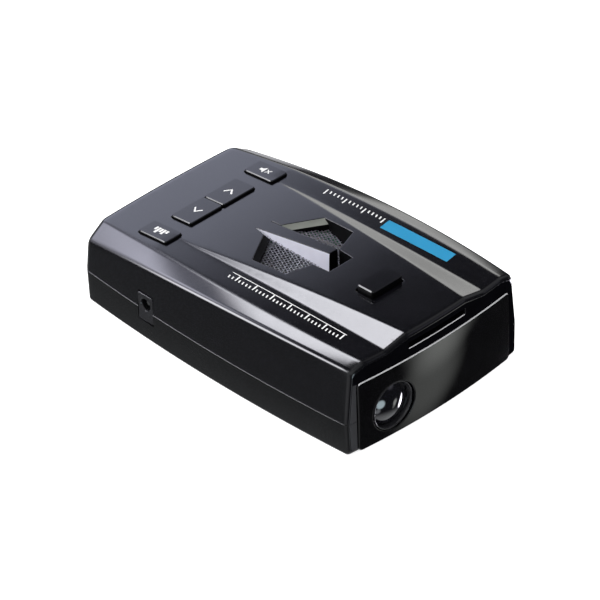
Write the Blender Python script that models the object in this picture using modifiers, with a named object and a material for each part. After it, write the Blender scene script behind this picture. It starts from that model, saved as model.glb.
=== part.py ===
"""A windscreen radar and laser detector, modelled as an assembly of separate parts.

Sizes are in millimetres and turned into metres when a mesh is made. +Y points to the driver
(the display end), -Y to the road (the laser lens and radar window), +Z is up, and the origin
is under the middle of the case, on the plane it rests on.
"""

import math

import bmesh
import bpy
from mathutils import Matrix, Vector

MM = 0.001

# ---- driving dimensions ------------------------------------------------------------------
FRONT_Y, REAR_Y = -51.9, 53.1          # corner lines of the two end faces
FRONT_BULGE, REAR_BULGE = 2.2, 1.0     # how far each end face bows out in plan
SEAM_Z = 10.4                          # parting line between the two covers
SEAM_GAP = 0.15                        # half of the gap at the parting line
SEAM_EDGE = 0.25                       # broken edge beside the parting line
WALL = 1.9
GAP = 0.3                              # clearance between pieces that rest on each other
LIP_THICK, LIP_HIGH = 1.0, 1.4         # tongue on the lower cover, inside the upper one's wall
BOTTOM_INSET = 0.3                     # draft of the lower wall

# Each triple is a size at the front end, at the rear end, and its extra in the middle.
HALF_WIDTH = (32.6, 32.3, 2.2)
TOP_DRAFT = (1.7, 1.2, 0.0)            # how far the upper wall leans in
CHAMFER_FOOT_Z = (27.1, 19.4, 2.5)
CHAMFER_TOP_X = (26.3, 24.8, 2.1)
CENTRE_Z = (30.45, 23.2, 1.5)
BAND_OUTER_X = (18.7, 19.5)
BAND_INNER_X = (10.9, 21.9)
BAND_RISE, BAND_END_T = 1.9, 0.78      # step up to the raised middle, and where it has faded

FRONT_ROUND = (0.9, 1.4, 1.3)          # end rounding: across, in height, along the case
REAR_ROUND = (2.6, 1.0, 2.2)

WINDOW_HALF, WINDOW_LOW, WINDOW_HIGH = 29.0, 0.15, 22.6
WINDOW_PROUD, WINDOW_THICK, WINDOW_CORNER = 0.5, 2.2, 1.3
DISPLAY_HALF, DISPLAY_LOW, DISPLAY_HIGH = 24.0, 5.4, 17.2
DISPLAY_PROUD, DISPLAY_THICK = 0.5, 2.0
LENS_X, LENS_Z, LENS_RECESS_R, LENS_R = -16.8, 9.7, 7.5, 6.0

BOARD_LOW, BOARD_THICK = 16.0, 1.6
KEY_TRAVEL, RELEASE_TRAVEL = 0.5, 1.6
KEY_PROUD, RELEASE_PROUD = 0.8, 2.0
END_WALL = 3.6                         # end walls, with the rebates that the windows sit in
BOSS_PLACES = [(-27.0, -36.0), (27.0, -36.0), (-24.3, 45.2), (24.3, 45.2)]
BOARD_POSTS = [(-22.0, -9.0), (22.0, -9.0), (-22.0, 18.0), (22.0, 18.0)]

# name: (x low, x high, y low, y high) of the opening in the cover
KEY_PLACES = {
    "city_key": (-23.6, -16.9, 27.8, 39.4),
    "mute_key": (16.9, 23.6, 27.8, 39.4),
    "volume_down_key": (-12.6, 0.0, 29.4, 37.8),
    "volume_up_key": (0.0, 12.6, 29.4, 37.8),
}
KEY_OPENINGS = {
    "city": KEY_PLACES["city_key"],
    "mute": KEY_PLACES["mute_key"],
    "volume": (-12.6, 12.6, 29.4, 37.8),
}
RELEASE_PLACE = (-6.2, 6.0, -35.8, -28.7)

JACK_Y, JACK_LOW, JACK_HIGH, JACK_HALF = 25.8, 6.5, 15.4, 2.9
JACK_HOLE_Z, JACK_HOLE_R = 12.1, 1.75

# The sounder grille: corners of each opening on the top face, in order round it.
GRILLE_LEFT = [
    (-1.9, 14.4), (-2.9, 10.1), (-13.8, 3.3), (-12.9, -8.8), (-4.6, -11.2), (1.8, -11.3),
]
GRILLE_RIGHT = [(3.0, 13.6), (4.9, -11.4), (13.6, -8.2), (13.7, 3.2), (3.5, 9.8)]
GRILLE_NOTCH = [(-4.9, -10.9), (-4.4, -17.2), (4.5, -17.2), (5.1, -10.9)]
GRILLE_PIVOTS = [(-2.0, 1.0), (4.0, 0.0)]         # the openings narrow towards these on the way down
GRILLE_TAPER = 0.87
NOTCH_DEPTH = 6.6
MESH_Y, MESH_Z, MESH_SLOPE = -0.2, 24.54, 0.143   # the mesh rises towards the driver
MESH_SIZE = (29.0, 22.6, 0.4)
WELL = (-16.4, 16.4, -20.0, 16.6, 21.8)   # block under the grille: x, x, y, y, lowest z

SLOT_HALF, SLOT_LOW, SLOT_HIGH = 10.8, 25.5, 27.3
GUIDE_FRONT_Y, GUIDE_BACK_Y = -48.0, -26.0


# ---- the case's surfaces -----------------------------------------------------------------
def along(triple, t):
    """A size at the share t of the way from the front end to the rear end."""
    front, rear, middle = triple
    return front * (1 - t) + rear * t + middle * 4 * t * (1 - t)


def band_lines(t):
    """Outer and inner edge of the sloping side band at t. They meet where the band fades out."""
    outer = along((*BAND_OUTER_X, 0), t)
    return outer, min(along((*BAND_INNER_X, 0), t), outer - 0.8)


def share(y):
    return (y - FRONT_Y) / (REAR_Y - FRONT_Y)


def band_rise(t):
    return BAND_RISE * (1 - min(t / BAND_END_T, 1.0) ** 1.3)


def end_bow(x, half_width, t):
    """How far the bowed end faces push a point along the case."""
    bow = 1 - (x / half_width) ** 2
    return bow * (REAR_BULGE * t ** 4 - FRONT_BULGE * (1 - t) ** 4)


def top_z(x, y):
    """Height of the top face inside the side bands."""
    t = min(max(share(y), 0.0), 1.0)
    outer, inner = band_lines(t)
    step = min(max((abs(x) - inner) / (outer - inner), 0.0), 1.0)
    return along(CENTRE_Z, t) - band_rise(t) * step


def rounded(corners, segments=3):
    """A polyline from (x, z, reach) corners: each corner is a curve that starts reach before it."""
    points = []
    for i, (x, z, reach) in enumerate(corners):
        here = Vector((x, z))
        if reach == 0 or i in (0, len(corners) - 1):
            points.append(here)
            continue
        before = Vector(corners[i - 1][:2]) - here
        after = Vector(corners[i + 1][:2]) - here
        start = here + before.normalized() * min(reach, before.length * 0.48)
        end = here + after.normalized() * min(reach, after.length * 0.48)
        for k in range(segments + 1):
            f = k / segments
            points.append(start * (1 - f) ** 2 + here * 2 * f * (1 - f) + end * f ** 2)
    return points


def step_counts(points, longest):
    """How many even steps keep each run of a polyline under the longest length."""
    return [max(1, math.ceil((b - a).length / longest)) for a, b in zip(points, points[1:])]


def with_steps(points, counts):
    """The same polyline with its runs cut into even steps."""
    finer = [points[0]]
    for a, b, steps in zip(points, points[1:], counts):
        finer += [a.lerp(b, k / steps) for k in range(1, steps + 1)]
    return finer


def top_section(t, inset=0.0):
    """Right half of the top cover's outline at t, from the parting plane up to the middle."""
    width = along(HALF_WIDTH, t) - inset
    foot = along(CHAMFER_FOOT_Z, t)
    centre = along(CENTRE_Z, t)
    base = SEAM_Z + SEAM_GAP
    outer, inner = band_lines(t)
    corners = [
        (0, base, 0),
        (width - SEAM_EDGE, base, 0),
        (width, base + SEAM_EDGE, 0),
        (width - along(TOP_DRAFT, t), foot - 0.64 * inset, 1.9),
        (along(CHAMFER_TOP_X, t) - 0.22 * inset, centre - band_rise(t) - inset, 0.9),
        (outer, centre - band_rise(t) - inset, 0.7),
        (inner, centre - inset, 0.7),
        (0, centre - inset, 0),
    ]
    return rounded(corners)


def bottom_section(t, inset=0.0):
    """Right half of the bottom cover's outline at t, from the middle of its floor outwards."""
    width = along(HALF_WIDTH, t) - inset
    base = SEAM_Z - SEAM_GAP
    corners = [
        (0, inset, 0),
        (width - BOTTOM_INSET, inset, 0.9),
        (width, base - SEAM_EDGE, 0),
        (width - SEAM_EDGE, base, 0),
        (0, base, 0),
    ]
    return rounded(corners)


def cavity_section(t, inset, low, high_inset):
    """Right half of the space inside the covers: straight up the walls and under the top face."""
    width = along(HALF_WIDTH, t) - inset
    foot = along(CHAMFER_FOOT_Z, t)
    centre = along(CENTRE_Z, t)
    side = centre - band_rise(t) - high_inset
    outer, inner = band_lines(t)
    return [
        (0, low),
        (width - BOTTOM_INSET, low),
        (width, SEAM_Z),
        (width - along(TOP_DRAFT, t), foot - 0.64 * high_inset),
        (along(CHAMFER_TOP_X, t) - 0.22 * high_inset, side),
        (outer, side),
        (inner, centre - high_inset),
        (0, centre - high_inset),
    ]


# ---- scene and modelling helpers ---------------------------------------------------------
def clear_scene():
    for obj in list(bpy.data.objects):
        bpy.data.objects.remove(obj)


def new_collection(name):
    made = bpy.data.collections.new(name)
    bpy.context.scene.collection.children.link(made)
    return made


def make_material(name, colour, roughness, metallic=0.0):
    made = bpy.data.materials.new(name)
    made.use_nodes = True
    shader = made.node_tree.nodes["Principled BSDF"]
    shader.inputs["Base Color"].default_value = (*colour, 1)
    shader.inputs["Roughness"].default_value = roughness
    shader.inputs["Metallic"].default_value = metallic
    made.diffuse_color = (*colour, 1)
    return made


def finish(name, bm, material=None, smooth=True):
    """Turns a bmesh in millimetres into a named object. Without a material it is a cutter.
    Four-sided faces are split, so that every face that a Boolean meets is flat."""
    bmesh.ops.recalc_face_normals(bm, faces=bm.faces)
    bmesh.ops.triangulate(bm, faces=[f for f in bm.faces if len(f.verts) == 4])
    bmesh.ops.scale(bm, vec=Vector((MM, MM, MM)), verts=bm.verts)
    mesh = bpy.data.meshes.new(name)
    bm.to_mesh(mesh)
    bm.free()
    if smooth:
        mesh.shade_smooth()
        mesh.set_sharp_from_angle(angle=math.radians(32))
    obj = bpy.data.objects.new(name, mesh)
    if material is None:
        CUTTERS.objects.link(obj)
        obj.hide_render = True
        obj.display_type = "WIRE"
    else:
        PARTS.objects.link(obj)
        mesh.materials.append(material)
    return obj


def box_mesh(low, high):
    bm = bmesh.new()
    size = Vector(high) - Vector(low)
    bmesh.ops.create_cube(bm, size=1.0)
    bmesh.ops.scale(bm, vec=size, verts=bm.verts)
    bmesh.ops.translate(bm, vec=(Vector(high) + Vector(low)) / 2, verts=bm.verts)
    return bm


def box(name, low, high, material=None, bevel=0.0):
    obj = finish(name, box_mesh(low, high), material, smooth=False)
    if bevel:
        add_bevel(obj, bevel)
    return obj


def cylinder_mesh(radius, start, end, segments=24, end_radius=None):
    """A cylinder or cone between two points."""
    start, end = Vector(start), Vector(end)
    bm = bmesh.new()
    bmesh.ops.create_cone(
        bm, cap_ends=True, segments=segments, radius1=radius,
        radius2=radius if end_radius is None else end_radius, depth=(end - start).length,
    )
    turn = (end - start).to_track_quat("Z", "Y").to_matrix().to_4x4()
    bmesh.ops.transform(bm, matrix=Matrix.Translation((start + end) / 2) @ turn, verts=bm.verts)
    return bm


def cylinder(name, radius, start, end, material=None, segments=24, end_radius=None):
    return finish(name, cylinder_mesh(radius, start, end, segments, end_radius), material)


def prism(name, outline, low, high, material=None, taper=1.0, pivot=(0.0, 0.0)):
    """An upright prism on an outline. low and high are heights, or functions of (x, y).
    taper shrinks the lower outline towards pivot."""
    bm = bmesh.new()
    lower = [bm.verts.new((pivot[0] + (x - pivot[0]) * taper, pivot[1] + (y - pivot[1]) * taper, 0))
             for x, y in outline]
    upper = [bm.verts.new((x, y, 0)) for x, y in outline]
    for verts, height in ((lower, low), (upper, high)):
        for v in verts:
            v.co.z = height(v.co.x, v.co.y) if callable(height) else height
    bm.faces.new(lower)
    bm.faces.new(upper)
    for i in range(len(outline)):
        j = (i + 1) % len(outline)
        bm.faces.new((lower[i], lower[j], upper[j], upper[i]))
    return finish(name, bm, material, smooth=False)


def rectangle(x0, x1, y0, y1):
    return [(x0, y0), (x1, y0), (x1, y1), (x0, y1)]


def rounded_rectangle(x0, x1, y0, y1, radius, segments=3):
    points = []
    quarter = math.pi / 2
    corners = [(x1 - radius, y1 - radius), (x0 + radius, y1 - radius),
               (x0 + radius, y0 + radius), (x1 - radius, y0 + radius)]
    for turn, (cx, cy) in enumerate(corners):
        for k in range(segments + 1):
            angle = quarter * (turn + k / segments)
            points.append((cx + radius * math.cos(angle), cy + radius * math.sin(angle)))
    return points


def turned(name, profile, centre, material, axis=(0, 0, 1), steps=32):
    """A profile of (radius, height) points turned about an axis, with a Screw modifier.
    A profile that ends where it starts is a closed ring."""
    bm = bmesh.new()
    closed = profile[0] == profile[-1]
    verts = [bm.verts.new((r, 0, z)) for r, z in (profile[:-1] if closed else profile)]
    for a, b in zip(verts, verts[1:]):
        bm.edges.new((a, b))
    if closed:
        bm.edges.new((verts[-1], verts[0]))
    turn = Vector(axis).to_track_quat("Z", "Y").to_matrix().to_4x4()
    bmesh.ops.scale(bm, vec=Vector((MM, MM, MM)), verts=bm.verts)
    mesh = bpy.data.meshes.new(name)
    bm.to_mesh(mesh)
    bm.free()
    obj = bpy.data.objects.new(name, mesh)
    PARTS.objects.link(obj)
    mesh.materials.append(material)
    obj.matrix_world = Matrix.Translation(Vector(centre) * MM) @ turn
    screw = obj.modifiers.new("Turn", "SCREW")
    screw.angle = 2 * math.pi
    screw.steps = screw.render_steps = steps
    screw.use_merge_vertices = True
    screw.merge_threshold = 0.00001
    screw.use_smooth_shade = True
    return obj


def tube(name, points, radius, material, closed_ends=True):
    """A wire along a line of points, as a curve with a round bevel."""
    curve = bpy.data.curves.new(name, "CURVE")
    curve.dimensions = "3D"
    curve.bevel_depth = radius * MM
    curve.bevel_resolution = 2
    curve.use_fill_caps = closed_ends
    spline = curve.splines.new("POLY")
    spline.points.add(len(points) - 1)
    for point, place in zip(spline.points, points):
        point.co = (*(Vector(place) * MM), 1)
    obj = bpy.data.objects.new(name, curve)
    PARTS.objects.link(obj)
    curve.materials.append(material)
    return obj


def boolean(target, other, operation):
    modifier = target.modifiers.new(other.name, "BOOLEAN")
    modifier.operation = operation
    modifier.object = other
    modifier.solver = "EXACT"


def cut(target, cutter):
    boolean(target, cutter, "DIFFERENCE")
    return target


def join(target, *pieces):
    """Each piece is a hidden block that becomes part of the target."""
    for piece in pieces:
        boolean(target, piece, "UNION")
    return target


def boolean_group(target, name, pieces, operation):
    """One Boolean with several pieces at once."""
    group = bpy.data.collections.new(name)
    CUTTERS.children.link(group)
    for piece in pieces:
        group.objects.link(piece)
    modifier = target.modifiers.new(name, "BOOLEAN")
    modifier.operation = operation
    modifier.operand_type = "COLLECTION"
    modifier.collection = group
    modifier.solver = "EXACT"


def add_bevel(obj, width, segments=2):
    modifier = obj.modifiers.new("Edges", "BEVEL")
    modifier.width = width * MM
    modifier.segments = segments
    modifier.limit_method = "ANGLE"
    modifier.angle_limit = math.radians(40)


def add_mirror(obj):
    modifier = obj.modifiers.new("Mirror", "MIRROR")
    modifier.merge_threshold = 0.00001
    modifier.use_clip = True


# ---- lofted case bodies ------------------------------------------------------------------
def stations(end_round_steps=4, middle_steps=14):
    """(t, share of the front rounding, share of the rear rounding) from front to rear."""
    length = REAR_Y - FRONT_Y
    first, last = FRONT_ROUND[2] / length, 1 - REAR_ROUND[2] / length
    quarter = math.pi / 2
    made = []
    for k in range(end_round_steps):
        angle = quarter * (1 - k / end_round_steps)
        made.append((first * (1 - math.sin(angle)), 1 - math.cos(angle), 0.0))
    for k in range(middle_steps + 1):
        made.append((first + (last - first) * k / middle_steps, 0.0, 0.0))
    for k in range(1, end_round_steps + 1):
        angle = quarter * k / end_round_steps
        made.append((last + (1 - last) * math.sin(angle), 0.0, 1 - math.cos(angle)))
    return made


def shrink(point, half_width, top, across, height):
    """Moves an outline point in from the wall by across, and from the top or floor by height."""
    x, z = point
    x *= (half_width - across) / half_width
    if z > SEAM_Z:
        z = SEAM_Z + (z - SEAM_Z) * (top - SEAM_Z - height) / (top - SEAM_Z)
    else:
        z = SEAM_Z - (SEAM_Z - z) * (SEAM_Z - height) / SEAM_Z
    return x, z


def half_loft(section, longest=7.0):
    """The right half of a closed case body through its sections, with rounded, bowed end faces."""
    bm = bmesh.new()
    rings = []
    places = stations()
    counts = step_counts(section(0.5), longest)
    for t, front_share, rear_share in places:
        half_width, top = along(HALF_WIDTH, t), along(CENTRE_Z, t)
        across = FRONT_ROUND[0] * front_share + REAR_ROUND[0] * rear_share
        height = FRONT_ROUND[1] * front_share + REAR_ROUND[1] * rear_share
        y = FRONT_Y + (REAR_Y - FRONT_Y) * t
        ring = []
        for point in with_steps(section(t), counts):
            x, z = shrink(point, half_width, top, across, height)
            ring.append(bm.verts.new((x, y + end_bow(x, half_width, t), z)))
        rings.append(ring)
    for ring, t in ((rings[0], places[0][0]), (rings[-1], places[-1][0])):
        half_width = along(HALF_WIDTH, t)
        flat_y = ring[0].co.y - end_bow(0, half_width, t)
        middle = (min(v.co.z for v in ring) + max(v.co.z for v in ring)) / 2
        for scale in (0.66, 0.33):
            inner = []
            for v in ring:
                x, z = v.co.x * scale, middle + (v.co.z - middle) * scale
                inner.append(bm.verts.new((x, flat_y + end_bow(x, half_width, t), z)))
            rings.insert(0 if t < 0.5 else len(rings), inner)
        tip = bm.verts.new((0, flat_y + end_bow(0, half_width, t), middle))
        for a, b in zip(inner, inner[1:]):
            bm.faces.new((a, b, tip))
    for first, second in zip(rings, rings[1:]):
        for i in range(len(first) - 1):
            bm.faces.new((first[i], first[i + 1], second[i + 1], second[i]))
    bmesh.ops.dissolve_degenerate(bm, dist=0.001, edges=bm.edges)
    return bm


def inner_loft(name, section, y_inset, steps=8):
    """A whole closed body through the inner sections, with flat ends y_inset inside the case's."""
    bm = bmesh.new()
    rings = []
    low, high = FRONT_Y + y_inset, REAR_Y - y_inset
    for k in range(steps + 1):
        y = low + (high - low) * k / steps
        right = section(share(y))
        left = [(-x, z) for x, z in reversed(right) if x > 0]
        rings.append([bm.verts.new((x, y, z)) for x, z in [*right, *left]])
    bm.faces.new(rings[0])
    bm.faces.new(rings[-1])
    for first, second in zip(rings, rings[1:]):
        for i in range(len(first)):
            j = (i + 1) % len(first)
            bm.faces.new((first[i], first[j], second[j], second[i]))
    return finish(name, bm, smooth=False)


def curved_plate(name, end, half, low, high, corner, depth, proud, edge=0.0, material=None, columns=20):
    """A plate that follows a bowed end face: end is -1 at the front and +1 at the rear.
    depth is how far its hidden face lies inside the end face, and proud how far it stands out."""
    bm = bmesh.new()
    rings = []
    t = 0.0 if end < 0 else 1.0
    bulge = FRONT_BULGE if end < 0 else REAR_BULGE
    face = FRONT_Y if end < 0 else REAR_Y
    wide = along(HALF_WIDTH, t)
    angles = [math.pi * k / columns for k in range(columns + 1)]
    for angle in angles:
        x = -half * math.cos(angle)
        near = max(0.0, corner - (half - abs(x)))
        lift = corner - math.sqrt(max(corner ** 2 - near ** 2, 0.0))
        z0, z1 = low + lift, high - lift
        surface = face + end * (bulge * (1 - (x / wide) ** 2) + proud)
        inside = surface - end * (proud + depth)
        pulled = edge * (1 if abs(x) < half - 0.01 else 1.3)
        section = [(inside, z0), (inside, z1), (surface - end * pulled, z1)]
        if edge:
            section += [(surface, z1 - edge), (surface, z0 + edge)]
        section.append((surface - end * pulled, z0))
        rings.append([bm.verts.new((x, y, z)) for y, z in section])
    for first, second in zip(rings, rings[1:]):
        for i in range(len(first)):
            j = (i + 1) % len(first)
            bm.faces.new((first[i], first[j], second[j], second[i]))
    bm.faces.new(rings[0])
    bm.faces.new(rings[-1])
    return finish(name, bm, material)


# ---- the parts ---------------------------------------------------------------------------
def make_materials():
    return {
        "case": make_material("case_black", (0.018, 0.018, 0.022), 0.32),
        "case_low": make_material("case_lower_black", (0.012, 0.012, 0.013), 0.42),
        "window": make_material("window_black", (0.004, 0.004, 0.005), 0.05),
        "lens": make_material("lens_glass", (0.02, 0.02, 0.03), 0.02),
        "ring": make_material("ring_black", (0.02, 0.02, 0.02), 0.25),
        "key": make_material("key_black", (0.025, 0.025, 0.03), 0.38),
        "zinc": make_material("zinc", (0.55, 0.55, 0.57), 0.38, 1.0),
        "steel": make_material("steel", (0.6, 0.6, 0.6), 0.28, 1.0),
        "mesh": make_material("mesh_steel", (0.45, 0.45, 0.46), 0.35, 1.0),
        "board": make_material("board_green", (0.02, 0.13, 0.06), 0.45),
        "chip": make_material("chip_black", (0.03, 0.03, 0.03), 0.5),
        "nylon": make_material("nylon_white", (0.75, 0.74, 0.7), 0.5),
        "paper": make_material("cone_paper", (0.05, 0.05, 0.05), 0.8),
        "red": make_material("wire_red", (0.5, 0.03, 0.03), 0.45),
        "black": make_material("wire_black", (0.02, 0.02, 0.02), 0.45),
        "label": make_material("label_silver", (0.55, 0.55, 0.56), 0.4),
        "display": make_material("display_glass", (0.01, 0.02, 0.03), 0.08),
    }


def opening_cutters():
    """The cutters that both covers share: each window's rebate and way through, and the jack's."""
    front_depth = WINDOW_THICK - WINDOW_PROUD + GAP
    rear_depth = DISPLAY_THICK - DISPLAY_PROUD + GAP
    half, display_half = WINDOW_HALF + GAP, DISPLAY_HALF + GAP
    return [
        curved_plate("cut_front_rebate", -1, half, WINDOW_LOW - 5, WINDOW_HIGH + GAP,
                     WINDOW_CORNER, front_depth, 3),
        curved_plate("cut_front_way", -1, half - 2.2, 2.45, WINDOW_HIGH - 2.2, 1.5, 9, 3, columns=23),
        curved_plate("cut_rear_rebate", 1, display_half, DISPLAY_LOW - GAP, DISPLAY_HIGH + GAP,
                     1.4, rear_depth, 3),
        curved_plate("cut_rear_way", 1, display_half - 1.4, DISPLAY_LOW + 1, DISPLAY_HIGH - 1,
                     1.0, 9, 3, columns=17),
        box("cut_jack", (-40, JACK_Y - JACK_HALF - GAP, JACK_LOW - GAP),
            (-28, JACK_Y + JACK_HALF + GAP, JACK_HIGH + GAP)),
    ]


def grille_cutters():
    """The two openings, the deep notch and the pocket for the mesh, all through the top."""
    def above(x, y):
        return top_z(x, y) + 3

    def lower(x, y):
        return MESH_Z - 0.4 + MESH_SLOPE * (y - MESH_Y)

    left = prism("cut_grille_left", GRILLE_LEFT, lower, above, None, GRILLE_TAPER, GRILLE_PIVOTS[0])
    right = prism("cut_grille_right", GRILLE_RIGHT, lower, above, None, GRILLE_TAPER, GRILLE_PIVOTS[1])
    notch = prism("cut_grille_notch", GRILLE_NOTCH, lambda x, y: top_z(x, y) - NOTCH_DEPTH, above)
    x, y, z = MESH_SIZE
    slope = math.atan(MESH_SLOPE)
    pocket = box("cut_mesh_pocket", (-x / 2 - GAP, -y / 2 - GAP, -12),
                 (x / 2 + GAP, y / 2 + GAP, z / 2 + GAP))
    pocket.matrix_world = (Matrix.Translation(Vector((0, MESH_Y, MESH_Z)) * MM)
                           @ Matrix.Rotation(slope, 4, "X"))
    return left, right, notch, pocket


def make_top_cover(mats, openings):
    cover = finish("top_cover", half_loft(top_section), mats["case"])
    add_mirror(cover)
    cut(cover, inner_loft("cut_top_cavity", lambda t: cavity_section(t, WALL, 2.0, WALL), END_WALL))
    x0, x1, y0, y1, low = WELL
    well = prism("join_grille_well", rectangle(x0, x1, y0, y1), low, lambda x, y: top_z(x, y) - 1.0)
    blocks = [well]
    slot = box("cut_bracket_slot", (-SLOT_HALF, FRONT_Y - 6, SLOT_LOW),
               (SLOT_HALF, FRONT_Y + 4.6, SLOT_HIGH))
    x0, x1, y0, y1 = RELEASE_PLACE
    release = prism("cut_release", rounded_rectangle(x0, x1, y0, y1, 0.8), 22.0, 40.0)
    cutters = [*openings, *grille_cutters(), slot, release]
    for i, (x, y) in enumerate(BOSS_PLACES):
        foot, ceiling = (x, y, SEAM_Z + SEAM_GAP), (x, y, top_z(x, y) - 1.5)
        blocks.append(cylinder(f"join_top_boss_{i}", 2.6, foot, ceiling, segments=20))
        foot, end = (x, y, SEAM_Z - 2), (x, y, SEAM_Z + 6.5)
        cutters.append(cylinder(f"cut_top_pilot_{i}", 1.3, foot, end, segments=16))
    for name, (x0, x1, y0, y1) in KEY_OPENINGS.items():
        cutters.append(prism(f"cut_{name}", rounded_rectangle(x0, x1, y0, y1, 0.8), 15.0, 40.0))
    boolean_group(cover, "top_cover_blocks", blocks, "UNION")
    boolean_group(cover, "top_cover_cuts", cutters, "DIFFERENCE")


def make_bottom_cover(mats, openings):
    cover = finish("bottom_cover", half_loft(bottom_section), mats["case_low"])
    add_mirror(cover)

    def lip_section(t):
        width = along(HALF_WIDTH, t) - WALL - GAP - 0.1
        return [(0, SEAM_Z - 3), (width, SEAM_Z - 3), (width, SEAM_Z + LIP_HIGH), (0, SEAM_Z + LIP_HIGH)]

    join(cover, inner_loft("join_lip", lip_section, END_WALL + GAP))
    wall = WALL + GAP + LIP_THICK
    cut(cover, inner_loft("cut_bottom_cavity", lambda t: cavity_section(t, wall, WALL, WALL),
                          END_WALL + GAP + LIP_THICK))
    blocks = []
    cutters = [*openings, prism("cut_label_well", rounded_rectangle(-17, 17, -8, 22, 1.5), -1.0, 0.5)]
    for i, (x, y) in enumerate(BOSS_PLACES):
        foot, end = (x, y, 0.6), (x, y, SEAM_Z - 0.4)
        blocks.append(cylinder(f"join_bottom_boss_{i}", 3.4, foot, end, segments=20))
        cutters.append(cylinder(f"cut_head_well_{i}", 2.5, (x, y, -1), (x, y, 4.2), segments=20))
        foot, end = (x, y, 3), (x, y, SEAM_Z + 3)
        cutters.append(cylinder(f"cut_screw_way_{i}", 1.45, foot, end, segments=16))
    for i, (x, y) in enumerate(BOARD_POSTS):
        foot, end = (x, y, 1.0), (x, y, BOARD_LOW - GAP)
        blocks.append(cylinder(f"join_board_post_{i}", 2.4, foot, end, segments=16))
        if i < 2:
            cutters.append(cylinder(f"cut_board_pilot_{i}", 1.2, (x, y, 8), (x, y, 20), segments=12))
    boolean_group(cover, "bottom_cover_blocks", blocks, "UNION")
    boolean_group(cover, "bottom_cover_cuts", cutters, "DIFFERENCE")


def make_windows(mats):
    window = curved_plate("front_window", -1, WINDOW_HALF, WINDOW_LOW, WINDOW_HIGH, WINDOW_CORNER,
                          WINDOW_THICK - WINDOW_PROUD, WINDOW_PROUD, 0.35, mats["window"], 28)
    cut(window, cylinder("cut_lens_hole", LENS_RECESS_R, (LENS_X, FRONT_Y - 8, LENS_Z),
                         (LENS_X, FRONT_Y + 4, LENS_Z), segments=48))
    curved_plate("rear_window", 1, DISPLAY_HALF, DISPLAY_LOW, DISPLAY_HIGH, 1.2,
                 DISPLAY_THICK - DISPLAY_PROUD, DISPLAY_PROUD, 0.25, mats["window"], 20)


def face_y(x):
    """The front end face at x."""
    return FRONT_Y - FRONT_BULGE * (1 - (x / HALF_WIDTH[0]) ** 2)


def make_laser(mats):
    y = face_y(LENS_X)
    out = (0, -1, 0)
    centre = (LENS_X, y, LENS_Z)
    r = LENS_RECESS_R - GAP
    sleeve, bore = LENS_R + 0.7, LENS_R + 0.2
    ring = [(r, 0.1), (r, -1.4), (sleeve, -1.4), (sleeve, -6.0), (bore, -6.0), (bore, -1.6),
            (r - 0.3, 0.1), (r, 0.1)]
    turned("lens_ring", ring, centre, mats["ring"], out, 48)
    dome = [(LENS_R * math.sin(a), 0.4 - 2.6 * (1 - math.cos(a))) for a in
            (math.radians(90 * k / 8) for k in range(9))]
    turned("laser_lens", [*dome, (LENS_R, -4.2), (0, -4.2)], centre, mats["lens"], out, 40)
    housing = [(0, -14.6), (5.6, -14.6), (5.6, -6.4), (7.0, -6.4), (7.0, -16.0), (0, -16.0)]
    turned("laser_housing", housing, centre, mats["chip"], out, 32)
    box("laser_board", (LENS_X - 6.8, y + 16.3, 2.6), (LENS_X + 6.8, y + 17.5, 16.8), mats["board"])
    diode = [(0, -11.4), (1.4, -11.5), (2.4, -12.4), (2.4, -14.3), (0, -14.3)]
    turned("laser_diode", diode, centre, mats["display"], out, 20)


def make_antenna(mats):
    """Cast waveguide horn: a flare towards the road, and a mixer box behind it."""
    x, z = 10.5, 10.0
    mouth_y, throat_y, back_y = -48.0, -27.0, -15.0
    mouth, throat = (15.3, 6.6), (6.5, 2.8)

    def flare(name, grow, start, end, material=None):
        bm = bmesh.new()
        bmesh.ops.create_cone(bm, cap_ends=True, segments=4, radius1=math.sqrt(2), depth=1,
                              radius2=math.sqrt(2) * throat[0] / mouth[0])
        bmesh.ops.rotate(bm, cent=(0, 0, 0), matrix=Matrix.Rotation(math.pi / 4, 3, "Z"), verts=bm.verts)
        size = Vector((mouth[0] + grow, mouth[1] + grow, end - start))
        bmesh.ops.scale(bm, vec=size, verts=bm.verts)
        bmesh.ops.rotate(bm, cent=(0, 0, 0), matrix=Matrix.Rotation(-math.pi / 2, 3, "X"), verts=bm.verts)
        bmesh.ops.translate(bm, vec=(x, (start + end) / 2, z), verts=bm.verts)
        return finish(name, bm, material, smooth=False)

    horn = flare("horn_antenna", 0.0, mouth_y, throat_y, mats["zinc"])
    block = box("join_mixer_block", (x - 9.5, throat_y - 2, 3.2), (x + 9.5, back_y, 15.2))
    rim = box("join_horn_rim", (x - 15.3, mouth_y, 2.9), (x + 15.3, mouth_y + 1.5, 16.9))
    join(horn, block, rim)
    cut(horn, flare("cut_flare", -1.2, mouth_y - 0.3, throat_y - 0.3))
    cut(horn, box("cut_waveguide", (x - 5, throat_y - 4, z - 2), (x + 5, back_y + -3, z + 2)))
    box("mixer_board", (x - 9.0, back_y - 11.5, 15.5), (x + 9.0, back_y - 0.5, 16.3), mats["board"])
    box("rf_shield", (x - 8.0, back_y - 10.5, 16.6), (x + 8.0, back_y - 1.5, 19.2), mats["steel"], 0.4)


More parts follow.
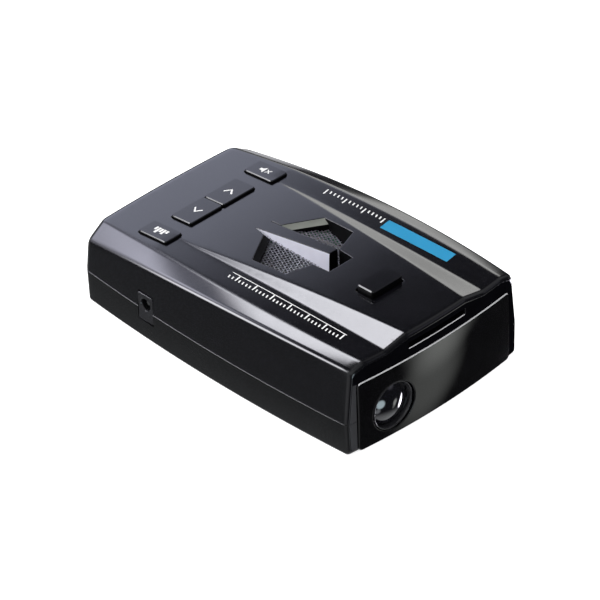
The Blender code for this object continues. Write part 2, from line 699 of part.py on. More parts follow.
def make_boards(mats):
    top = BOARD_LOW + BOARD_THICK
    outline = rounded_rectangle(-27.5, 27.5, -12.5, 41.4, 1.0)
    board = prism("main_board", outline, BOARD_LOW, top, mats["board"])
    for i in (0, 1):
        x, y = BOARD_POSTS[i]
        low, high = (x, y, BOARD_LOW - 2), (x, y, top + 2)
        cut(board, cylinder(f"cut_board_hole_{i}", 1.45, low, high, segments=16))
        screw = [(0, top + 1.7), (1.6, top + 1.6), (2.1, top + 1.0), (2.1, top + GAP),
                 (0.9, top + GAP), (0.9, 9.0), (0, 8.6)]
        turned(f"board_screw_{i + 1}", screw, (x, y, 0), mats["steel"], steps=16)
    box("processor_chip", (-5.0, 18.0, top + GAP), (5.0, 28.0, top + GAP + 1.0), mats["chip"], 0.15)
    box("memory_chip", (-19.0, 4.0, top + GAP), (-13.0, 9.0, top + GAP + 1.1), mats["chip"], 0.15)
    box("voltage_regulator", (-24.0, 12.0, top + GAP), (-18.0, 18.0, top + GAP + 2.0), mats["chip"], 0.2)
    foot, end = (-13.0, 20.0, 7.0), (-13.0, 20.0, BOARD_LOW - GAP)
    cylinder("supply_capacitor", 3.0, foot, end, mats["zinc"], 24)
    low, high = (17.6, -4.0, top + GAP), (23.4, 0.0, top + GAP + 2.6)
    box("speaker_socket", low, high, mats["nylon"], 0.2)


def make_speaker(mats):
    """Miniature loudspeaker under the grille."""
    centre = (0, -1.0, 0)
    high = WELL[4] - GAP
    frame = [(13.2, high), (13.2, high - 1.3), (6.6, high - 2.4), (6.6, high - 1.4),
             (11.6, high - 0.8), (12.0, high), (13.2, high)]
    turned("speaker_frame", frame, centre, mats["steel"], steps=36)
    cone = [(0, high - 0.5), (3.2, high - 0.8), (3.6, high - 1.3), (8.5, high - 0.55),
            (10.2, high + 0.1), (11.4, high - 0.1), (11.2, high - 0.5), (10.2, high - 0.35),
            (8.7, high - 0.9), (3.8, high - 1.65), (0, high - 1.6)]
    turned("speaker_cone", cone, centre, mats["paper"], steps=36)
    magnet = [(0, high - 2.0), (6.2, high - 2.0), (6.2, high - 3.4), (0, high - 3.4)]
    turned("speaker_magnet", magnet, centre, mats["zinc"], steps=28)
    x, y, z = MESH_SIZE
    mesh = box("speaker_mesh", (-x / 2, -y / 2, -z / 2), (x / 2, y / 2, z / 2), mats["mesh"])
    mesh.matrix_world = (Matrix.Translation(Vector((0, MESH_Y, MESH_Z)) * MM)
                         @ Matrix.Rotation(math.atan(MESH_SLOPE), 4, "X"))
    for name, material, shift in (("speaker_wire_red", "red", 0.0), ("speaker_wire_black", "black", 1.2)):
        start = Vector((13.9, -2.6 + shift, high - 1.0))
        end = Vector((17.3, -2.6 + shift, BOARD_LOW + BOARD_THICK + 1.6))
        middle = Vector((15.9, -2.6 + shift, high - 0.9))
        points = [start * (1 - f) ** 2 + middle * 2 * f * (1 - f) + end * f ** 2 for f in
                  (k / 8 for k in range(9))]
        tube(name, points, 0.35, mats[material])


def make_key(name, mats):
    """A key cap, the plunger it presses, and the switch under it."""
    x0, x1, y0, y1 = KEY_PLACES[name]
    clear = 0.25
    skirt_low = 20.9
    cap = prism(name, rounded_rectangle(x0 + clear, x1 - clear, y0 + clear, y1 - clear, 0.6),
                lambda x, y: top_z(x, y) - WALL - 1.4, lambda x, y: top_z(x, y) + KEY_PROUD, mats["key"])
    edges = [x0 - 0.7, x1 + 0.7, y0 - 0.7, y1 + 0.7]
    if name == "volume_down_key":
        edges[1] = x1 - clear
    if name == "volume_up_key":
        edges[0] = x0 + clear
    flange = prism(f"join_{name}_flange", rectangle(*edges),
                   lambda x, y: top_z(x, y) - WALL - 1.5, lambda x, y: top_z(x, y) - WALL - 0.45)
    x, y = (x0 + x1) / 2, (y0 + y1) / 2
    foot, end = (x, y, skirt_low + 0.9), (x, y, top_z(x, y) - WALL - 1.0)
    stem = cylinder(f"join_{name}_stem", 1.9, foot, end, segments=16)
    join(cap, flange, stem)
    stem_name = name.replace("_key", "")
    top = BOARD_LOW + BOARD_THICK + GAP
    switch_high = skirt_low - 0.2
    low, high = (x - 3, y - 3, top), (x + 3, y + 3, switch_high)
    switch = box(f"{stem_name}_switch", low, high, mats["steel"], 0.2)
    low, high = (x, y, switch_high - 1.5), (x, y, switch_high + 1)
    cut(switch, cylinder(f"cut_{stem_name}_bore", 1.9, low, high, segments=20))
    low, high = (x, y, switch_high - 0.8), (x, y, skirt_low + 0.6)
    cylinder(f"{stem_name}_plunger", 1.5, low, high, mats["chip"], 20)


def make_release(mats):
    """The push button that frees the windscreen bracket, its latch, spring and guide."""
    x0, x1, y0, y1 = RELEASE_PLACE
    clear = 0.25
    middle = (y0 + y1) / 2
    outline = rounded_rectangle(x0 + clear, x1 - clear, y0 + clear, y1 - clear, 0.7)
    button = prism("release_button", outline, lambda x, y: top_z(x, y) - WALL - 1.4,
                   lambda x, y: top_z(x, y) + RELEASE_PROUD, mats["key"])
    flange = prism("join_release_flange", rectangle(x0 - 0.8, x1 + 0.8, y0 - 0.8, y1 + 0.8),
                   lambda x, y: top_z(x, y) - WALL - 1.5, lambda x, y: top_z(x, y) - WALL - 0.4)
    post = box("join_release_post", (-2.2, middle - 2.2, 23.9), (2.2, middle + 2.2, 27.6))
    join(button, flange, post)
    latch = box("release_latch", (-4.0, -44.0, 22.4), (4.0, middle + 3.4, 23.6), mats["steel"])
    join(latch, box("join_latch_tooth", (-2.6, -44.0, 23.0), (2.6, -42.4, 27.0)))
    turns, radius, wire = 2, 2.4, 0.2
    low, high = 19.0 + wire, 22.1 - wire
    points = []
    for k in range(turns * 12 + 1):
        angle = 2 * math.pi * k / 12
        z = low + (high - low) * k / (turns * 12)
        points.append((radius * math.cos(angle), middle + radius * math.sin(angle), z))
    tube("release_spring", points, wire, mats["steel"])
    guide = box("bracket_guide", (-12.2, GUIDE_FRONT_Y, 24.2), (12.2, -40.0, SLOT_LOW), mats["steel"])
    walls = [box(f"join_guide_wall_{i}", (a, GUIDE_FRONT_Y, 17.5), (b, GUIDE_BACK_Y, 27.7))
             for i, (a, b) in enumerate(((-12.2, -11.1), (11.1, 12.2)))]
    tray = box("join_guide_tray", (-12.2, -38.5, 17.5), (12.2, GUIDE_BACK_Y, 18.7))
    join(guide, *walls, tray)
    cut(guide, box("cut_latch_window", (-3.0, -44.6, 22), (3.0, -41.8, 27)))


def make_power_jack(mats):
    """Round coaxial inlet in a square-faced body on the left wall."""
    wall = -along(HALF_WIDTH, share(JACK_Y)) + 0.15
    low, high = (wall, JACK_Y - JACK_HALF, JACK_LOW), (wall + 12.0, JACK_Y + JACK_HALF, JACK_HIGH)
    jack = box("power_jack", low, high, mats["chip"], 0.15)
    mouth, end = (wall - 2, JACK_Y, JACK_HOLE_Z), (wall + 9.5, JACK_Y, JACK_HOLE_Z)
    cut(jack, cylinder("cut_jack_bore", JACK_HOLE_R, mouth, end, segments=24))
    tip, foot = (wall + 1.2, JACK_Y, JACK_HOLE_Z), (wall + 9.2, JACK_Y, JACK_HOLE_Z)
    cylinder("power_jack_pin", 0.65, tip, foot, mats["steel"], 16)


def make_display(mats):
    back = REAR_Y - 1.2
    box("display_panel", (-19.8, back - 2.8, 6.8), (19.8, back - 1.4, 15.8), mats["display"], 0.2)
    box("display_board", (-20.2, back - 5.3, 4.4), (20.2, back - 3.9, 15.6), mats["board"])
    outer = [(back - 5.6, 8.0), (back - 6.6, 8.4), (back - 7.5, 10.0), (back - 8.1, 12.4),
             (back - 8.9, 14.4), (back - 10.3, 15.4), (back - 12.5, 15.5)]
    inner = [(y - 0.1, z - 0.3) for y, z in reversed(outer)]
    ribbon = prism("display_cable", [*outer, *inner], -5.0, 5.0, mats["nylon"])
    ribbon.matrix_world = Matrix(((0, 0, 1, 0), (1, 0, 0, 0), (0, 1, 0, 0), (0, 0, 0, 1)))
    turned("rear_laser_sensor", [(0, 1.4), (0.9, 1.1), (1.35, 0.3), (1.35, -1.2), (0, -1.2)],
           (21.4, back - 1.6, 11.6), mats["display"], (0, 1, 0), 20)


def make_fasteners(mats):
    """Four case screws up through the bottom cover, and the blank rating label."""
    profile = [(0, SEAM_Z + 5.2), (0.6, SEAM_Z + 4.6), (1.0, SEAM_Z + 3.6), (1.0, 3.9),
               (2.1, 3.9), (2.1, 2.9), (1.6, 2.3), (0, 2.3)]
    for i, (x, y) in enumerate(BOSS_PLACES):
        screw = turned(f"case_screw_{i + 1}", profile, (x, y, 0), mats["steel"], steps=20)
        for turn in (0, math.pi / 2):
            bar = box(f"cut_drive_{i}_{int(turn > 0)}", (-1.1, -0.22, 1.5), (1.1, 0.22, 3.1))
            bar.matrix_world = Matrix.Translation(Vector((x, y, 0)) * MM) @ Matrix.Rotation(turn, 4, "Z")
            cut(screw, bar)
    prism("rating_label", rounded_rectangle(-16.6, 16.6, -7.6, 21.6, 1.2), 0.08, 0.2, mats["label"])


clear_scene()
PARTS = new_collection("radar_detector")
CUTTERS = new_collection("cutters")
CUTTERS.hide_render = True

materials = make_materials()
shared_openings = opening_cutters()
make_top_cover(materials, shared_openings)
make_bottom_cover(materials, shared_openings)
make_windows(materials)
make_laser(materials)
make_antenna(materials)
make_boards(materials)
make_speaker(materials)
for key_name in KEY_PLACES:
    make_key(key_name, materials)
make_release(materials)
make_power_jack(materials)
make_display(materials)
make_fasteners(materials)
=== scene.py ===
"""Looks for the windscreen radar detector: detailed covers, keys, lens, woven grille and finishes.

Lengths are in millimetres until a mesh is made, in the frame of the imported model: +Y to the
driver, -Y to the road, +Z up, the origin under the middle of the case.
"""

from math import ceil, cos, pi, radians, sin

import bmesh
import bpy
import numpy as np
from mathutils import Matrix, Vector
from mathutils.geometry import delaunay_2d_cdt


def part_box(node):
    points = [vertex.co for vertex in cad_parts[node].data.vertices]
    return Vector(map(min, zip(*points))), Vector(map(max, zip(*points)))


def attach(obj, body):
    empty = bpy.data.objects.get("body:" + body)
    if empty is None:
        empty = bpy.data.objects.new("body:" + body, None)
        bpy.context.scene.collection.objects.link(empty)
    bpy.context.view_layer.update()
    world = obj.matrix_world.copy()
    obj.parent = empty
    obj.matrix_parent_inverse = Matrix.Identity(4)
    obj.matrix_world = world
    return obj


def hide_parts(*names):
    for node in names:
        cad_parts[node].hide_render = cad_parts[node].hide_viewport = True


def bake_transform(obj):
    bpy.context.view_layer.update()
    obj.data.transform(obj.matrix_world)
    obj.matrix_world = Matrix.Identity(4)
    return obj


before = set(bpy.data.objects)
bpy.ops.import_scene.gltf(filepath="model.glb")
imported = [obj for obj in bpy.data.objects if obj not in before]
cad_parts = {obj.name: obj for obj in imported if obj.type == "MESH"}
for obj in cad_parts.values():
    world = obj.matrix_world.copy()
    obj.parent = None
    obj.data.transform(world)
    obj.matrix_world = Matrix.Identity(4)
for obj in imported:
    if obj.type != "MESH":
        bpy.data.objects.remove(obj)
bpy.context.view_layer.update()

MM = 0.001
UP, DOWN = Vector((0, 0, 1)), Vector((0, 0, -1))
TO_ROAD, TO_DRIVER = Vector((0, -1, 0)), Vector((0, 1, 0))

# ---- sizes of the case, as in the CAD ----
FRONT_Y, REAR_Y = -51.9, 53.1
LENGTH = REAR_Y - FRONT_Y
FRONT_BULGE, REAR_BULGE = 2.2, 1.0
SEAM_Z, SEAM_GAP, SEAM_EDGE = 10.4, 0.07, 0.3
SEAM_DEPTH = 1.8
BOTTOM_INSET, FLOOR_ROUND = 0.3, 0.9
HALF_WIDTH = (32.6, 32.3, 2.2)
TOP_DRAFT = (1.7, 1.2, 0.0)
CHAMFER_FOOT_Z = (27.1, 19.4, 2.5)
CHAMFER_TOP_X = (26.3, 24.8, 2.1)
CENTRE_Z = (30.45, 23.2, 1.5)
BAND_OUTER_X, BAND_INNER_X = (18.7, 19.5), (10.9, 21.9)
BAND_RISE, BAND_END_T, BAND_ROUND = 1.9, 0.78, 0.6
FOOT_ROUND, TOP_ROUND = 1.5, 0.9
FRONT_ROUND = (0.9, 1.4, 1.3)
REAR_ROUND = (2.6, 1.0, 2.2)

WINDOW_HALF, WINDOW_LOW, WINDOW_HIGH, WINDOW_CORNER = 29.0, 0.15, 22.6, 1.3
WINDOW_PROUD = 0.5
DISPLAY_HALF, DISPLAY_LOW, DISPLAY_HIGH = 24.0, 5.4, 17.2
LENS_X, LENS_Z, LENS_RECESS_R, LENS_R = -16.8, 9.7, 7.5, 6.0
JACK_Y, JACK_LOW, JACK_HIGH, JACK_HALF = 25.8, 6.5, 15.4, 2.9
JACK_HOLE_Z, JACK_HOLE_R = 12.1, 1.75
JACK_CLEAR, WINDOW_CLEAR = 0.3, 0.3
JACK_ROWS = 9  # rows of a side wall, counted from the seam, that the inlet's opening cuts
SLOT_HALF, SLOT_LOW, SLOT_HIGH = 10.8, 25.5, 27.3
KEY_PLACES = {
    "city_key": (-23.6, -16.9, 27.8, 39.4),
    "mute_key": (16.9, 23.6, 27.8, 39.4),
    "volume_down_key": (-12.6, 0.0, 29.4, 37.8),
    "volume_up_key": (0.0, 12.6, 29.4, 37.8),
}
KEY_OPENINGS = [KEY_PLACES["city_key"], KEY_PLACES["mute_key"], (-12.6, 12.6, 29.4, 37.8)]
RELEASE_PLACE = (-6.2, 6.0, -35.8, -28.7)
KEY_PROUD, RELEASE_PROUD = 0.8, 2.0
MESH_Y, MESH_Z, MESH_SLOPE = -0.2, 24.54, 0.143
MESH_HALF = (14.5, 11.3)
NOTCH_DEPTH = 6.6
BOSS_PLACES = [(-27.0, -36.0), (27.0, -36.0), (-24.3, 45.2), (24.3, 45.2)]
LABEL_PLACE = (-17, 17, -8, 22, 1.5)
INK_LIFT = 0.012

# The grille's outline: left lobe, front notch, right lobe, then round the blade between them.
# LEDGES gives how far a corner's ledge lies from it. An edge has the number of its first corner.
GRILLE = [
    (-1.9, 14.4), (-2.9, 10.1), (-13.8, 3.3), (-12.9, -8.8), (-4.88, -11.12), (-4.4, -17.2),
    (4.5, -17.2), (5.06, -11.34), (13.6, -8.2), (13.7, 3.2), (3.55, 9.8), (3.3, 13.3),
    (3.02, 13.3), (4.86, -10.9), (1.74, -10.9),
]
LEDGES = {1: (0.85, -1.36), 2: (0.1, -1.5), 9: (-0.1, -1.6), 10: (0.25, -1.5)}
LEDGE_DEPTH = 1.4
BLADE_CORNERS, BLADE_EDGE, LEDGE_EDGE = (12, 13, 14, 0), 14, 9


# ---- the case's surfaces ----
def along(triple, t):
    front, rear, middle = triple
    return front * (1 - t) + rear * t + middle * 4 * t * (1 - t)


def band_lines(t):
    outer = along((*BAND_OUTER_X, 0), t)
    return outer, min(along((*BAND_INNER_X, 0), t), outer - 0.8)


def band_rise(t):
    return BAND_RISE * (1 - min(t / BAND_END_T, 1.0) ** 1.3)


def end_bow(x, t):
    bow = 1 - (x / along(HALF_WIDTH, t)) ** 2
    return bow * (REAR_BULGE * t ** 4 - FRONT_BULGE * (1 - t) ** 4)


def band_round(t):
    outer, inner = band_lines(t)
    return min(BAND_ROUND, (outer - inner) / 2.1)


def crown(x, t):
    """Height of the top face at x, with its two band corners rounded."""
    outer, inner = band_lines(t)
    slope = band_rise(t) / (outer - inner)
    reach = band_round(t)
    x = abs(x)
    z = along(CENTRE_Z, t) - slope * (min(max(x, inner), outer) - inner)
    for corner, change in ((inner, -slope), (outer, slope)):
        d = x - corner
        if abs(d) < reach:
            z += change * ((d + reach) ** 2 / (4 * reach) - max(d, 0))
    return z


def share_at(x, y):
    """The share of the way along the case at a point of its top, bow taken off."""
    t = (y - FRONT_Y) / LENGTH
    for _ in range(4):
        t = min(max((y - end_bow(x, min(max(t, 0), 1)) - FRONT_Y) / LENGTH, 0), 1)
    return t


def on_top(x, y, lift=0.0):
    return Vector((x, y, crown(x, share_at(x, y)) + lift))


def on_front(x, z):
    return Vector((x, FRONT_Y + end_bow(x, 0), z))


def on_rear(x, z):
    return Vector((x, REAR_Y + end_bow(x, 1), z))


def rounded(corners, segments=7):
    """A polyline from (x, z, reach) corners, each one a curve that starts reach before it."""
    points = []
    for i, (x, z, reach) in enumerate(corners):
        here = Vector((x, z))
        if reach == 0 or i in (0, len(corners) - 1):
            points.append(here)
            continue
        before = Vector(corners[i - 1][:2]) - here
        after = Vector(corners[i + 1][:2]) - here
        start = here + before.normalized() * min(reach, before.length * 0.48)
        end = here + after.normalized() * min(reach, after.length * 0.48)
        for k in range(segments + 1):
            f = k / segments
            points.append(start * (1 - f) ** 2 + here * 2 * f * (1 - f) + end * f ** 2)
    return points


def wall_profile(t):
    """Right side of the upper cover at t, from inside the seam up to the top of the chamfer."""
    width, foot = along(HALF_WIDTH, t), along(CHAMFER_FOOT_Z, t)
    base = SEAM_Z + SEAM_GAP
    lean = along(TOP_DRAFT, t) * (JACK_HIGH + JACK_CLEAR - base) / (foot - base)
    chamfer_top = along(CENTRE_Z, t) - band_rise(t)
    return rounded([
        (width - SEAM_DEPTH, base, 0),
        (width, base, SEAM_EDGE),
        (width - lean, JACK_HIGH + JACK_CLEAR, 0),
        (width - along(TOP_DRAFT, t), foot, FOOT_ROUND),
        (along(CHAMFER_TOP_X, t), chamfer_top, TOP_ROUND),
        (along(BAND_OUTER_X + (0,), t), chamfer_top, 0),
    ])[:-1]


def top_profile(t):
    """Right half of the top face at t, inwards from the top of the chamfer to the middle."""
    outer, inner = band_lines(t)
    edge, reach = wall_profile(t)[-1].x, band_round(t)
    xs = [edge + (outer + reach - edge) * k / 3 for k in (1, 2)]
    xs += [outer + reach * k for k in (1, 0.5, 0, -0.5, -1)]
    xs += [(outer + inner) / 2] + [inner + reach * k for k in (1, 0.5, 0, -0.5, -1)]
    xs += [(inner - reach) * k / 4 for k in (3, 2, 1, 0)]
    return [Vector((x, crown(x, t))) for x in xs]


def floor_profile(t):
    """Right side of the lower cover at t, from inside the seam down to the floor."""
    width, base = along(HALF_WIDTH, t), SEAM_Z - SEAM_GAP
    lean = BOTTOM_INSET * (1 - (JACK_LOW - JACK_CLEAR) / base)
    return rounded([
        (width - SEAM_DEPTH, base, 0),
        (width, base, SEAM_EDGE),
        (width - lean, JACK_LOW - JACK_CLEAR, 0),
        (width - BOTTOM_INSET, 0, FLOOR_ROUND),
        (width - 6, 0, 0),
    ])[:-1]


def under_profile(t):
    edge = floor_profile(t)[-1].x
    return [Vector((edge * k / 10, 0)) for k in range(9, -1, -1)]


# ---- mesh helpers ----
FOLLOW_GAP = 0.08  # from a rounded edge to the loop that the triangles beside it follow
PRINT_MERGE, FINE_MERGE = 0.0005, 0.0001  # vertices closer than this are one, on fine pieces


def dense(loop, step):
    """The same closed loop with its edges cut into short steps."""
    points = []
    for a, b in zip(loop, [*loop[1:], loop[0]]):
        a, b = Vector(a), Vector(b)
        count = max(1, ceil((b - a).length / step))
        points += [a.lerp(b, k / count) for k in range(count)]
    return points


def offset(loop, distance):
    """A counterclockwise loop moved outwards, with its sharpest corners cut short."""
    moved = []
    for i, here in enumerate(loop):
        first = (here - loop[i - 1]).normalized()
        second = (loop[(i + 1) % len(loop)] - here).normalized()
        normals = [Vector((d.y, -d.x)) for d in (first, second)]
        middle = (normals[0] + normals[1]).normalized()
        moved.append(here + middle * distance * min(1 / max(middle.dot(normals[0]), 0.1), 2.2))
    return moved


def box_loop(x0, x1, y0, y1, radius, segments=6):
    """A counterclockwise rectangle with rounded corners."""
    corners = [(x1 - radius, y1 - radius), (x0 + radius, y1 - radius),
               (x0 + radius, y0 + radius), (x1 - radius, y0 + radius)]
    points = []
    for turn, (cx, cy) in enumerate(corners):
        for k in range(segments + 1):
            angle = pi / 2 * (turn + k / segments)
            points.append(Vector((cx + radius * cos(angle), cy + radius * sin(angle))))
    return points


def dense_box(x0, x1, y0, y1, radius, step):
    return dense(box_loop(x0, x1, y0, y1, radius), step)


def circle_loop(x, y, radius, count):
    angles = (2 * pi * k / count for k in range(count))
    return [Vector((x + radius * cos(a), y + radius * sin(a))) for a in angles]


def inside(points, loop):
    """Which points lie inside a closed loop."""
    x, y = points[:, 0], points[:, 1]
    result = np.zeros(len(points), bool)
    for (x0, y0), (x1, y1) in zip(loop, [*loop[1:], loop[0]]):
        if y0 != y1:
            result ^= ((y0 > y) != (y1 > y)) & (x < (x1 - x0) * (y - y0) / (y1 - y0) + x0)
    return result


def fill(bm, boundary, openings, place, spacing, loops=(), lines=(), material=0):
    """Fills a flat outline round its openings with triangles, each point set on a surface by
    place. openings are what hole() gives. loops and lines are more edges to follow."""
    points, edges = [], []
    holes, loops = [o[0] for o in openings], [*(o[1] for o in openings), *loops]
    for loop in (boundary, *holes, *loops):
        start = len(points)
        points += loop
        edges += [(start + i, start + (i + 1) % len(loop)) for i in range(len(loop))]
    for line in lines:
        start = len(points)
        points += line
        edges += [(start + i, start + i + 1) for i in range(len(line) - 1)]
    fixed = np.array([tuple(p) for p in points])
    low, high = fixed.min(0), fixed.max(0)
    xs = np.arange(low[0] + spacing / 2, high[0], spacing)
    ys = np.arange(low[1] + spacing / 2, high[1], spacing)
    free = np.array([(x + spacing / 2 * (i % 2), y) for i, y in enumerate(ys) for x in xs])
    free = free.reshape(-1, 2)
    keep = inside(free, boundary)
    for hole in holes:
        keep &= ~inside(free, hole)
    free = free[keep]
    gaps = np.min(np.hypot(*(free[:, None] - fixed[None]).transpose(2, 0, 1)), axis=1)
    points += [Vector(p) for p in free[gaps > spacing * 0.45]]
    made = delaunay_2d_cdt([Vector(p) for p in points], edges, [], 0, 1e-5)
    corners, faces = made[0], made[2]
    flat = np.array([tuple(p) for p in corners])
    centres = np.array([flat[list(f)].mean(0) for f in faces])
    keep = inside(centres, boundary)
    for hole in holes:
        keep &= ~inside(centres, hole)
    verts = {}
    for face, wanted in zip(faces, keep):
        if not wanted:
            continue
        for i in face:
            if i not in verts:
                verts[i] = bm.verts.new(place(*corners[i]))
        bm.faces.new([verts[i] for i in face]).material_index = material


def bridge(bm, first, second, material=0, closed=True):
    count = len(first) if closed else len(first) - 1
    for i in range(count):
        j = (i + 1) % len(first)
        bm.faces.new((first[i], first[j], second[j], second[i])).material_index = material


def edge_rings(bm, loop, place, into, radius, side=1, steps=4):
    """A rounded edge from the surface down to loop, or a steep bevel where steps is 1.
    side is 1 round a hole and -1 round a cap."""
    last = None
    depth = radius * (1.4 if steps == 1 else 1.0)
    for k in range(steps + 1):
        angle = pi / 2 * k / steps
        outline = offset(loop, side * radius * (1 - sin(angle)))
        shift = into * depth * (1 - cos(angle))
        made = [bm.verts.new(place(*p) + shift) for p in outline]
        if last:
            bridge(bm, last, made)
        last = made
    return last


def drop(bm, verts, shift, material=0, closed=True):
    """A straight wall from a row of vertices."""
    bridge(bm, verts, [bm.verts.new(v.co + shift) for v in verts], material, closed)


def cap(bm, loop, place, into, radius, wall, spacing, steps=4, side=0):
    """A solid cap on an outline: a filled top, a rounded or (in one step) bevelled edge, and
    straight sides of the material side."""
    inner = offset(loop, -radius)
    fill(bm, inner, [], place, spacing, [offset(loop, -radius - FOLLOW_GAP)])
    edge = edge_rings(bm, loop, place, into, radius, -1, steps)
    drop(bm, edge, into * wall, side)


def hole(bm, loop, place, into, radius, wall, material=0, steps=4):
    """The rounded edge and straight sides of an opening. Gives the loops that fill() needs."""
    edge = edge_rings(bm, loop, place, into, radius, steps=steps)
    drop(bm, edge, into * wall, material)
    return offset(loop, radius), offset(loop, radius + FOLLOW_GAP)


def grid(bm, rows):
    for first, second in zip(rows, rows[1:]):
        bridge(bm, first, second, closed=False)


def tube(bm, rings):
    for first, second in zip(rings, rings[1:]):
        bridge(bm, first, second)


def wire_ring(bm, centre, side, radius, count):
    """Points round a wire, in the plane of side and the way up."""
    return [bm.verts.new(centre + (side * cos(a) + UP * sin(a)) * radius)
            for a in (2 * pi * k / count for k in range(count))]


def finish(name, bm, materials, body, replaced=(), sharp=40.0, merge=0.004):
    """Turns a bmesh in millimetres into a named piece. Faces meeting at over sharp degrees
    stay sharp."""
    bmesh.ops.remove_doubles(bm, verts=bm.verts, dist=merge)
    bmesh.ops.dissolve_degenerate(bm, edges=bm.edges, dist=0.0005)
    bmesh.ops.recalc_face_normals(bm, faces=bm.faces)
    bmesh.ops.scale(bm, vec=Vector((MM, MM, MM)), verts=bm.verts)
    mesh = bpy.data.meshes.new(name)
    bm.to_mesh(mesh)
    bm.free()
    mesh.shade_smooth()
    mesh.set_sharp_from_angle(angle=radians(sharp))
    for made in materials:
        mesh.materials.append(made)
    obj = bpy.data.objects.new(name, mesh)
    bpy.context.scene.collection.objects.link(obj)
    if body:
        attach(obj, body)
    if replaced:
        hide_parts(*replaced)
    return obj


def turned(bm, profile, centre, axis, steps):
    """A profile of (radius, height) points turned about an axis."""
    turn = Vector(axis).to_track_quat("Z", "Y").to_matrix()
    rows = []
    for k in range(steps):
        angle = 2 * pi * k / steps
        out = cos(angle), sin(angle)
        rows.append([bm.verts.new(Vector(centre) + turn @ Vector((r * out[0], r * out[1], z)))
                     for r, z in profile])
    grid(bm, [*rows, rows[0]])


# ---- materials ----
def add_node(tree, kind, *sources, **settings):
    """A node with these settings. Its first inputs are linked to, or set to, the sources."""
    node = tree.nodes.new("ShaderNode" + kind)
    for key, value in settings.items():
        setattr(node, key, value)
    for socket, source in zip(node.inputs, sources):
        if isinstance(source, bpy.types.NodeSocket):
            tree.links.new(source, socket)
        else:
            socket.default_value = source
    return node


class Nodes:
    """A short way to write a procedural material."""

    def __init__(self, name):
        self.material = bpy.data.materials.new(name)
        self.material.use_nodes = True
        self.tree = self.material.node_tree
        self.shader = self.tree.nodes["Principled BSDF"]
        self.place = self.add("TexCoord").outputs["Object"]

    def add(self, kind, *sources, **settings):
        return add_node(self.tree, kind, *sources, **settings)

    def link(self, source, target):
        self.tree.links.new(source, target)

    def noise(self, scale, detail=4.0, rough=0.55, stretch=(1, 1, 1)):
        """Noise with features of about 1/scale metres."""
        mapping = self.add("Mapping", self.place)
        mapping.inputs["Scale"].default_value = stretch
        node = self.add("TexNoise", mapping.outputs["Vector"])
        node.inputs["Scale"].default_value = scale
        node.inputs["Detail"].default_value = detail
        node.inputs["Roughness"].default_value = rough
        return node.outputs["Fac"]

    def spread(self, source, low, high, start=0.3, end=0.7):
        """Maps start..end to low..high."""
        node = self.add("MapRange", source, start, end, low, high)
        return node.outputs["Result"]

    def mix(self, factor, first, second):
        node = self.add("Mix", factor, data_type="RGBA")
        for socket, value in ((node.inputs[6], first), (node.inputs[7], second)):
            if isinstance(value, tuple):
                socket.default_value = (*value, 1)
            else:
                self.link(value, socket)
        return node.outputs[2]

    def add_up(self, first, second):
        return self.add("Math", first, second, operation="ADD").outputs[0]

    def bump(self, height, distance, strength=1.0):
        node = self.add("Bump")
        node.inputs["Distance"].default_value = distance
        node.inputs["Strength"].default_value = strength
        self.link(height, node.inputs["Height"])
        self.link(node.outputs["Normal"], self.shader.inputs["Normal"])

    def surface(self, colour, roughness):
        self.link(colour, self.shader.inputs["Base Color"])
        self.link(roughness, self.shader.inputs["Roughness"])

    def plain(self, **sockets):
        for name, value in sockets.items():
            self.shader.inputs[name.replace("_", " ")].default_value = value


def tinted(colour, factor):
    return tuple(c * factor for c in colour)


def plastic(name, colour, rough, grain=0.1, depth=0.000001, vary=0.18, smudge=0.05, level=0.5):
    """Moulded plastic: a fine spark-eroded grain in mm, faint mould mottling and handling marks."""
    n = Nodes(name)
    mottle, fine = n.noise(260.0, 5.0), n.noise(1000.0 / grain, 2.0)
    handled = n.noise(70.0, 6.0, 0.62)
    grainy = n.spread(fine, rough - 0.03, rough + 0.03)
    n.surface(n.mix(n.spread(mottle, 0, 1), tinted(colour, 1 - vary), tinted(colour, 1 + vary)),
              n.add_up(grainy, n.spread(handled, -smudge, smudge)))
    n.bump(fine, depth)
    n.plain(Specular_IOR_Level=level)
    return n.material


def metal(name, colour, rough, stretch=(1, 1, 1), depth=0.000006, scale=3000.0):
    """Bare or plated metal with brushing along its unstretched way, stains and tiny pits."""
    n = Nodes(name)
    brush = n.noise(scale, 3.0, 0.6, stretch)
    stain = n.noise(220.0, 5.0)
    n.surface(n.mix(n.spread(stain, 0, 1), tinted(colour, 0.72), colour),
              n.add_up(n.spread(brush, rough - 0.08, rough + 0.08), n.spread(stain, 0.06, -0.04)))
    n.bump(brush, depth)
    n.plain(Metallic=1.0)
    return n.material


def glass(name, colour, rough=0.03, level=0.5):
    """Polished dark acrylic or glass with faint haze and hairline wiping marks."""
    n = Nodes(name)
    haze = n.noise(120.0, 6.0, 0.6)
    hairs = n.noise(1500.0, 2.0, 0.5, (1, 1, 0.05))
    light = tuple(c * 1.6 + 0.0006 for c in colour)
    n.surface(n.mix(n.spread(haze, 0, 1), colour, light),
              n.add_up(n.spread(haze, rough * 0.6, rough * 1.6), n.spread(hairs, 0, 0.02)))
    n.bump(haze, 0.000002, 0.4)
    n.plain(Specular_IOR_Level=level)
    return n.material


